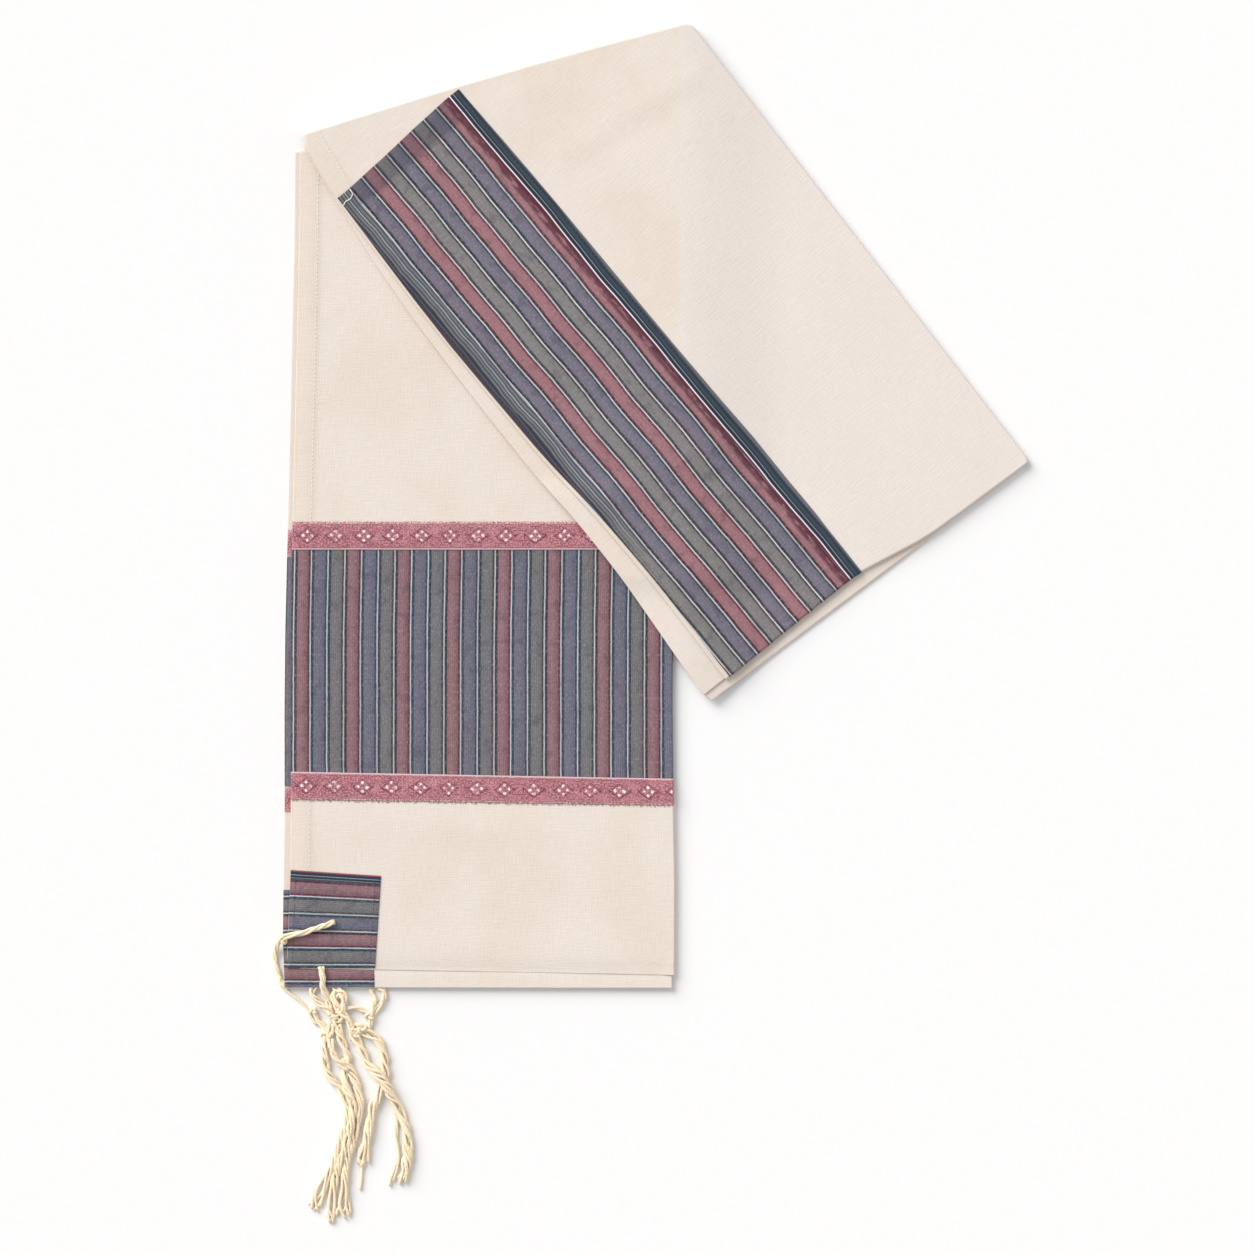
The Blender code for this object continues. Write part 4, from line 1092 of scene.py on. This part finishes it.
Stripe = namedtuple("Stripe", "pin dark left middle right edge")
BAND_BURGUNDY = Stripe((190, 192, 190), (40, 50, 64), (148, 98, 106), (138, 110, 115),
                       (124, 84, 94), (84, 46, 56))
BAND_BLUE = Stripe((186, 196, 200), (36, 66, 82), (110, 106, 121), (106, 106, 121),
                   (90, 96, 118), (54, 60, 70))
BAND_GREY = Stripe((186, 194, 200), (38, 54, 72), (109, 109, 110), (113, 114, 116),
                   (103, 104, 107), (58, 62, 68))
NECK_BLUE = Stripe((212, 216, 214), (36, 46, 64), (114, 107, 124), (116, 114, 128),
                   (102, 103, 120), (56, 62, 78))
NECK_BURGUNDY = Stripe((200, 206, 208), (70, 34, 46), (154, 106, 113), (158, 113, 120),
                       (150, 104, 112), (100, 48, 60))
NECK_GREY = Stripe((200, 208, 208), (50, 58, 66), (128, 125, 124), (129, 127, 128),
                   (121, 119, 120), (62, 62, 64))
# Places of a cell's stops, in parts of the cell
STOPS = ((0.0, "pin"), (0.035, "pin"), (0.065, "dark"), (0.19, "dark"), (0.225, "left"),
         (0.48, "middle"), (0.84, "right"), (0.875, "edge"), (0.96, "edge"))
NEXT_PIN = 0.99
FINE_LINE = 1.22
SHEEN_ROUGHNESS = 0.5
SPECULAR = 0.25
WEAVE_HEIGHT = 0.00035
PLY_HEIGHT = 0.0003


def linear(colour):
    """Colour values for the shader from values as seen, from 0 to 255."""
    values = [(c / 255 / 12.92) if c <= 10 else ((c / 255 + 0.055) / 1.055) ** 2.4
              for c in colour]
    return (*values, 1.0)


class Look:
    """A material's nodes. Lengths are in millimetres on the flat cloth."""

    def __init__(self, name, roughness=0.9, sheen=0.2):
        self.material = bpy.data.materials.new(name)
        self.material.use_nodes = True
        self.tree = self.material.node_tree
        self.tree.nodes.clear()
        self.shader = self.node("BsdfPrincipled", Roughness=roughness, Sheen_Weight=sheen,
                                Sheen_Roughness=SHEEN_ROUGHNESS, Specular_IOR_Level=SPECULAR)
        self.node("OutputMaterial", Surface=self.shader.outputs["BSDF"])
        places = self.node("UVMap")
        places.uv_map = "flat"
        split = self.node("SeparateXYZ", Vector=places.outputs["UV"])
        self.x = self.times(split.outputs["X"], 1 / MM)
        self.y = self.times(split.outputs["Y"], 1 / MM)

    def node(self, kind, **values):
        """A new node, with a value or link for each input named, and _ for a space in a name."""
        node = self.tree.nodes.new("ShaderNode" + kind)
        for name, value in values.items():
            self.put(node.inputs[name.replace("_", " ")], value)
        return node

    def put(self, socket, value):
        if isinstance(value, bpy.types.NodeSocket):
            self.tree.links.new(value, socket)
        else:
            socket.default_value = value

    def math(self, operation, *values):
        node = self.node("Math")
        node.operation = operation
        for socket, value in zip(node.inputs, values):
            self.put(socket, value)
        return node.outputs["Value"]

    def plus(self, first, second):
        return self.math("ADD", first, second)

    def minus(self, first, second):
        return self.math("SUBTRACT", first, second)

    def times(self, first, second):
        return self.math("MULTIPLY", first, second)

    def over(self, first, second):
        return self.math("DIVIDE", first, second)

    def noise(self, per_x, per_y, seed=0.0, detail=2.0):
        """Noise whose grain is so many millimetres across and along the cloth."""
        place = self.node("CombineXYZ", X=self.over(self.x, per_x), Y=self.over(self.y, per_y),
                          Z=seed)
        noise = self.node("TexNoise", Vector=place.outputs["Vector"], Scale=1.0, Detail=detail)
        return noise.outputs["Fac"]

    def sway(self, fac, amount):
        """Noise turned into a value about zero."""
        return self.times(self.minus(fac, 0.5), amount)

    def swayed(self, value, amount, *grain):
        """A value that noise moves up and down."""
        return self.plus(value, self.sway(self.noise(*grain), amount))

    def patches(self, low, high, *grain):
        """Noise turned into patches: zero below a low value, one above a high one."""
        return self.ease(self.noise(*grain), low, high)

    def band(self, value, low, high, soft):
        """One between two limits, falling softly to zero outside them."""
        rising = self.ease(value, low - soft, low + soft)
        falling = self.ease(value, high + soft, high - soft)
        return self.times(rising, falling)

    def ease(self, value, start, end):
        """From zero at the start to one at the end, which may be below the start."""
        node = self.node("MapRange", Value=value, From_Min=min(start, end),
                         From_Max=max(start, end), To_Min=float(start > end),
                         To_Max=float(start < end))
        node.interpolation_type = "SMOOTHSTEP"
        return node.outputs["Result"]

    def mix(self, share, first, second):
        node = self.node("Mix")
        node.data_type = "RGBA"
        sockets = [s for s in node.inputs if s.type == "RGBA"]
        self.put(node.inputs["Factor"], share)
        self.put(sockets[0], first)
        self.put(sockets[1], second)
        return next(s for s in node.outputs if s.type == "RGBA")

    def tint(self, colour, mask, amount, towards):
        """A colour moved towards another one where a mask is, by up to an amount."""
        return self.mix(self.times(mask, amount), colour, linear(towards))

    def scale(self, colour, amount):
        node = self.node("VectorMath", Vector=colour)
        node.operation = "SCALE"
        self.put(node.inputs["Scale"], amount)
        return node.outputs["Vector"]

    def ramp(self, value, stops):
        node = self.node("ValToRGB", Fac=value)
        ramp = node.color_ramp
        while len(ramp.elements) > 1:
            ramp.elements.remove(ramp.elements[-1])
        ramp.elements[0].position = stops[0][0]
        ramp.elements[0].color = linear(stops[0][1])
        for place, colour in stops[1:]:
            ramp.elements.new(place).color = linear(colour)
        return node.outputs["Color"]

    def stripes(self, value, cells, cell, start):
        """Three cells of stripes, again and again."""
        part = self.math("FRACT", self.over(self.minus(value, start), cell * len(cells)))
        stops = []
        for n, stripe in enumerate(cells):
            for place, part_name in STOPS:
                stops.append(((n + place) / len(cells), getattr(stripe, part_name)))
            pin = cells[(n + 1) % len(cells)].pin
            stops.append(((n + NEXT_PIN) / len(cells), pin))
        return self.ramp(part, stops)

    def weave(self, warp_grain, weft_grain, strength, colour_depth):
        """The threads' own unevenness: gives a value about one, and sets the bump."""
        warp = self.noise(warp_grain, 9.0, 1.0)
        weft = self.noise(10.0, weft_grain, 5.0)
        speck = self.noise(0.85, 0.85, 9.0, 1.0)
        surface = self.plus(self.plus(warp, weft), self.times(speck, 0.6))
        self.bump(surface, strength, WEAVE_HEIGHT)
        tone = self.plus(self.sway(warp, colour_depth), self.sway(weft, colour_depth))
        return self.plus(self.plus(tone, self.sway(speck, colour_depth * 0.8)), 1.0)

    def bump(self, height, strength, distance):
        """Raise the surface where the height is great, by a distance in metres."""
        node = self.node("Bump", Strength=strength, Distance=distance, Height=height)
        self.put(self.shader.inputs["Normal"], node.outputs["Normal"])

    def finish(self, colour):
        self.put(self.shader.inputs["Base Color"], colour)
        return self.material


# The last four numbers for swayed and patches are the noise's grain across and along the cloth
# in millimetres, its seed and its detail. Colours are as seen, from 0 to 255.
CREAM =(233, 222, 213)
CREAM_WARM = (230, 217, 205)
CREAM_LIGHT = (239, 231, 224)
CREAM_HEM_FOLD_SHADE = (208, 194, 180)
CREAM_HEM = (227, 214, 201)
CREAM_SHOW_THROUGH_LIGHT = (232, 223, 217)


def cream_look(name, shows_through=False):
    """Light cotton with slubs, a faint cloudiness, the hem's double cloth and painted shade along
    the hem's fold; with shows_through, painted show-through light off the lower stretch.
    """
    look = Look(name, 0.92, 0.25)
    tone = look.weave(0.62, 0.7, 0.45, 0.13)
    clouds = look.patches(0.35, 0.65, 38.0, 60.0, 3.0, 3.0)
    colour = look.mix(clouds, linear(CREAM), linear(CREAM_WARM))
    # Painted light: off the lower stretch the cream is painted lighter and pinker, where light from
    # the white floor shows through the sheer cloth
    if shows_through:
        under = look.node("Attribute")
        under.attribute_name = "over_panel"
        colour = look.tint(colour, look.minus(1.0, under.outputs["Fac"]), 0.75, CREAM_SHOW_THROUGH_LIGHT)
    slubs = look.patches(0.62, 0.78, 14.0, 0.8, 12.0, 1.0)
    colour = look.tint(colour, slubs, 0.35, CREAM_LIGHT)
    colour = look.tint(colour, look.band(look.x, -1.0, SIDE_HEM, 0.4), 0.6, CREAM_HEM)
    # Painted shade: a darker line along the side hem's inner edge, where the cloth is turned under
    hem_fold_shade = look.band(look.x, SIDE_HEM - 0.2, SIDE_HEM + 0.8, 0.6)
    colour = look.tint(colour, hem_fold_shade, 0.22, CREAM_HEM_FOLD_SHADE)
    return look.finish(look.scale(colour, tone))


STRIPE_DEPTH = 0.42
WARM_THREAD = (138, 92, 108)
PALE_FLECK = (196, 190, 186)
SHADE_BLOTCH = (58, 54, 68)


def striped_look(name, cells, cell, start, across=True, wave=0.6, added=None):
    """Woven stripes that waver a little, with warm threads, pale flecks and dark blotches of painted
    shade.
    """
    look = Look(name, 0.88, 0.3)

    def grain(over_stripes, along_stripes):
        return (over_stripes, along_stripes) if across else (along_stripes, over_stripes)

    value = look.swayed(look.x if across else look.y, wave, *grain(400.0, 62.0), 2.0, 2.0)
    value = look.swayed(value, 0.35, *grain(9.0, 5.0), 8.0, 1.0)
    colour = look.stripes(value, cells, cell, start)
    fine_lines = look.math("SINE", look.times(value, 2 * math.pi / FINE_LINE))
    fine_lines = look.times(fine_lines, look.patches(0.3, 0.7, 16.0, 16.0, 14.0, 1.0))
    tone = look.plus(look.weave(0.6, 0.6, 0.5, STRIPE_DEPTH), look.times(fine_lines, 0.17))
    tone = look.swayed(tone, 0.22, 30.0, 45.0, 6.0, 3.0)
    warmer = look.patches(0.5, 0.66, *grain(0.9, 160.0), 27.0, 1.0)
    colour = look.tint(colour, warmer, 0.2, WARM_THREAD)
    flecks = look.patches(0.46, 0.72, *grain(0.7, 2.0), 4.0, 2.0)
    colour = look.tint(colour, flecks, 0.2, PALE_FLECK)
    # Painted shade: dark blotches for the shade of the cloth's small unevenness
    blotches = look.patches(0.52, 0.7, 6.0, 8.0, 23.0, 4.0)
    colour = look.tint(colour, blotches, 0.3, SHADE_BLOTCH)
    if added:
        colour = added(look, colour)
    return look.finish(look.scale(colour, tone))


NECK_HEM = (44, 40, 58)
NECK_WINE_FOLD_SHADE = (72, 22, 44)
# Close lines at the neckband's left fold and right edge, as shares of a width and colours
FOLD_LINES_WIDTH = 9.5
FOLD_LINES = (
    (0.0, (48, 52, 66)), (0.1, (124, 126, 130)), (0.2, (40, 46, 62)), (0.32, (128, 130, 132)),
    (0.42, (40, 46, 62)), (0.5, (172, 178, 182)), (0.56, (44, 50, 66)), (0.7, (122, 124, 130)),
    (0.82, (40, 46, 62)), (0.93, (190, 196, 202)), (1.0, (40, 50, 68)))
EDGE_LINES_START = 86.0
EDGE_LINES_WIDTH = 14.0
EDGE_LINES = (
    (0.0, (104, 40, 60)), (0.21, (84, 26, 48)), (0.235, (236, 238, 238)),
    (0.262, (232, 235, 236)), (0.285, (30, 38, 54)), (0.4, (36, 46, 62)),
    (0.425, (158, 166, 172)), (0.45, (34, 44, 60)), (0.58, (58, 74, 86)), (0.68, (34, 46, 60)),
    (0.74, (60, 66, 76)), (0.79, (104, 106, 110)), (1.0, (104, 106, 110)))


def neckband_lines(look, colour):
    """The neckband's darker end hem, painted fold shade in deep wine beside its right edge, and the
    close lines at its left fold and right edge.
    """
    colour = look.tint(colour, look.band(look.y, -12.0, 11.0, 2.4), 0.38, NECK_HEM)
    at_fold = look.times(look.ease(look.x, 9.0, 7.4), look.ease(look.y, 300.0, 230.0))
    folded = look.over(look.swayed(look.x, 5.0, 60.0, 34.0, 21.0, 3.0), FOLD_LINES_WIDTH)
    colour = look.mix(look.times(at_fold, 0.88), colour, look.ramp(folded, FOLD_LINES))
    # Painted shade: the burgundy next to the right edge is darkened to deep wine in patches, for the
    # shade of a fold
    wine = look.times(look.band(look.x, 84.2, 88.4, 1.2),
                      look.patches(0.3, 0.55, 2.2, 9.0, 19.0, 2.0))
    colour = look.tint(colour, wine, 0.75, NECK_WINE_FOLD_SHADE)
    from_start = look.minus(look.swayed(look.x, 2.6, 300.0, 52.0, 17.0, 2.0), EDGE_LINES_START)
    lines = look.ramp(look.over(from_start, EDGE_LINES_WIDTH), EDGE_LINES)
    return look.mix(look.ease(look.x, 87.4, 88.8), colour, lines)


PATCH_CELL = 10.25
UNDER_PATCH_CELL = 10.13
PATCH_LINES_WIDTH = 5.6
PATCH_LINES = (
    (0.0, (150, 84, 96)), (0.12, (110, 56, 70)), (0.18, (38, 46, 62)), (0.4, (44, 56, 74)),
    (0.46, (150, 168, 180)), (0.52, (36, 44, 60)), (0.7, (34, 42, 58)), (0.78, (120, 140, 150)),
    (0.85, (44, 50, 66)), (1.0, (120, 60, 76)))


def patch_lines(look, colour):
    """The close lines at the top edge of the front patch."""
    lines = look.ramp(look.over(look.y, PATCH_LINES_WIDTH), PATCH_LINES)
    return look.mix(look.ease(look.y, 5.8, 5.0), colour, lines)


MOTIF = 17.0
MOTIF_START = 8.6
PETAL_OUT = 2.5
PINK = (180, 108, 121)
PINK_DARK = (150, 72, 88)
PINK_WINE = (134, 62, 84)
PINK_FLECK = (232, 196, 198)
CHEVRON = (112, 42, 60)
PETAL = (248, 230, 234)
SELVEDGE = (226, 200, 200)
FUZZ = (232, 212, 204)


def ribbon_look(name, band_side):
    """Pink ribbon with a woven row of four-petalled figures in dark chevrons."""
    look = Look(name, 0.8, 0.35)
    tone = look.weave(0.55, 0.5, 0.6, 0.2)
    moved_x = look.swayed(look.x, 4.0, 24.0, 60.0, 6.0, 2.0)
    part = look.plus(look.over(look.minus(moved_x, MOTIF_START), MOTIF), 0.5)
    part = look.minus(look.math("FRACT", part), 0.5)
    along = look.math("ABSOLUTE", look.times(part, MOTIF))
    down = look.swayed(look.minus(0.0, look.y), 2.4, 7.0, 60.0, 2.0, 2.0)
    clouds = look.patches(0.35, 0.65, 6.0, 3.0, 1.5, 3.0)
    pink = look.mix(clouds, linear(PINK_DARK), linear(PINK))
    wine = look.times(look.ease(along, 8.4, 3.4), look.patches(0.4, 0.6, 4.0, 3.0, 13.0, 2.0))
    pink = look.tint(pink, wine, 0.5, PINK_WINE)
    flecks = look.patches(0.42, 0.62, 0.95, 0.85, 31.0, 3.0)
    pink = look.tint(pink, flecks, 0.46, PINK_FLECK)
    chevron = look.times(along, 0.78)
    for sign, strength in ((1.0, 0.95), (-1.0, 0.7)):
        line = look.band(look.plus(look.times(down, sign), chevron), 3.9, 5.0, 0.6)
        line = look.times(line, look.ease(along, 7.2, 6.2))
        rough = look.patches(0.34, 0.56, 1.2, 0.9, 7.0, 1.0)
        pink = look.tint(pink, look.times(line, rough), strength, CHEVRON)
    for x_out, y_out in ((PETAL_OUT, 0.0), (0.0, PETAL_OUT)):
        dx = look.minus(along, x_out)
        dy = look.minus(look.math("ABSOLUTE", down), y_out)
        distance = look.math("SQRT", look.plus(look.times(dx, dx), look.times(dy, dy)))
        petal = look.ease(look.swayed(distance, 1.8, 1.5, 1.5, 43.0, 2.0), 1.2, 0.6)
        worn = look.patches(0.34, 0.54, 2.4, 2.4, 11.0, 2.0)
        pink = look.mix(look.times(petal, worn), pink, linear(PETAL))
    to_band = look.times(look.y, band_side)
    pink = look.tint(pink, look.ease(to_band, 7.2, 7.7), 0.75, SELVEDGE)
    fuzz = look.times(look.ease(to_band, -5.6, -8.0),
                      look.patches(0.46, 0.58, 0.9, 0.9, 37.0, 2.0))
    pink = look.tint(pink, fuzz, 0.8, FUZZ)
    return look.finish(look.scale(pink, tone))


# Light and shaded colours
CORD_COLOURS = ((255, 241, 214), (244, 217, 180))
THREAD_COLOURS = ((255, 251, 246), (246, 240, 232))
PINK_THREAD_COLOURS = ((202, 134, 146), (160, 84, 98))
NAVY_THREAD_COLOURS = ((84, 84, 100), (44, 46, 62))


def cord_look(name, light, shade):
    """Plied cotton: the turns of its plies run round it."""
    look = Look(name, 0.85, 0.3)
    turns = look.plus(look.times(look.y, 2.6), look.times(look.x, 2.0))
    ply = look.plus(look.times(look.math("SINE", turns), 0.5), 0.5)
    share = look.swayed(look.times(ply, 0.35), 0.8, 1.5, 2.5, 4.0, 2.0)
    share = look.plus(share, 0.45)
    look.bump(share, 0.5, PLY_HEIGHT)
    return look.finish(look.mix(share, linear(shade), linear(light)))


def make_looks():
    return {
        "cream": cream_look("cream_voile"),
        "cream_upper": cream_look("cream_voile_upper", shows_through=True),
        "band": striped_look("band_stripes", (BAND_BURGUNDY, BAND_BLUE, BAND_GREY), CELL, 1.2,
                             wave=1.2),
        "neckband": striped_look("neckband_stripes", (NECK_BLUE, NECK_BURGUNDY, NECK_GREY),
                                 NECK_CELL, 8.3, wave=3.2, added=neckband_lines),
        "patch": striped_look("patch_stripes", (BAND_BURGUNDY, BAND_GREY, BAND_BLUE),
                              PATCH_CELL, 4.7, across=False, added=patch_lines),
        "under_patch": striped_look("under_patch_stripes", (BAND_GREY, BAND_BURGUNDY, BAND_BLUE),
                                    UNDER_PATCH_CELL, 3.6, across=False),
        "under_band": striped_look("under_band_stripes", (BAND_BLUE, BAND_GREY, BAND_BURGUNDY),
                                   CELL, -1.6),
        "ribbon_upper": ribbon_look("ribbon_jacquard_upper", -1.0),
        "ribbon_lower": ribbon_look("ribbon_jacquard_lower", 1.0),
        "ribbon_side": ribbon_look("ribbon_jacquard_side", 1.0),
        "cord": cord_look("cord_cotton_plied", *CORD_COLOURS),
        "thread": cord_look("sewing_thread", *THREAD_COLOURS),
        "pink_thread": cord_look("pink_sewing_thread", *PINK_THREAD_COLOURS),
        "navy_thread": cord_look("navy_sewing_thread", *NAVY_THREAD_COLOURS),
    }


# Floor, light and camera

# In metres, but for the sun's strength and softness, and the sensor
FLOOR_HALF = 3.0
FLOOR_COLOUR = (0.93, 0.93, 0.935, 1.0)
SUN_COLOUR = (1.0, 0.985, 0.965)
CENTRE = (-0.0149, -0.0024)
PHOTO_WIDTH = 0.7474
CAMERA_HEIGHT = 6.0
SENSOR = 36.0
SUN_FROM = (-0.62, 0.66)
SUN_HEIGHT = 31.0
SUN_STRENGTH = 3.1
SUN_SOFTNESS = 42.0
SKY = 0.56


def make_stage():
    floor_look = bpy.data.materials.new("floor_white")
    floor_look.use_nodes = True
    shader = floor_look.node_tree.nodes["Principled BSDF"]
    shader.inputs["Base Color"].default_value = FLOOR_COLOUR
    shader.inputs["Roughness"].default_value = 0.95
    shader.inputs["Specular IOR Level"].default_value = 0.0
    half = FLOOR_HALF / MM
    floor = add_mesh("floor", [(-half, -half, 0), (half, -half, 0), (half, half, 0),
                               (-half, half, 0)], [(0, 1, 2, 3)], np.zeros((4, 2)), floor_look)

    world = bpy.data.worlds.new("studio")
    world.use_nodes = True
    background = world.node_tree.nodes["Background"]
    background.inputs["Color"].default_value = (1.0, 1.0, 1.0, 1.0)
    background.inputs["Strength"].default_value = SKY
    bpy.context.scene.world = world

    sun = bpy.data.lights.new("window_light", "SUN")
    sun.energy = SUN_STRENGTH
    sun.angle = math.radians(SUN_SOFTNESS)
    sun.color = SUN_COLOUR
    lamp = bpy.data.objects.new("window_light", sun)
    bpy.context.scene.collection.objects.link(lamp)
    lamp.rotation_euler = (0.0, math.radians(90.0 - SUN_HEIGHT),
                           math.atan2(SUN_FROM[1], SUN_FROM[0]))

    camera_data = bpy.data.cameras.new("camera")
    camera_data.sensor_width = SENSOR
    camera_data.lens = SENSOR * CAMERA_HEIGHT / PHOTO_WIDTH
    camera_data.clip_end = 20.0
    camera = bpy.data.objects.new("camera", camera_data)
    camera.location = (CENTRE[0], CENTRE[1], CAMERA_HEIGHT)
    bpy.context.scene.collection.objects.link(camera)
    bpy.context.scene.camera = camera
    bpy.context.scene.view_settings.view_transform = "Standard"


looks = make_looks()
make_lower(looks)
make_front_patch(looks)
make_top_leaf(looks)
make_upper_layers(looks)
make_neckband(looks)
make_sewing(looks)
make_tzitzit(looks)
make_stage()
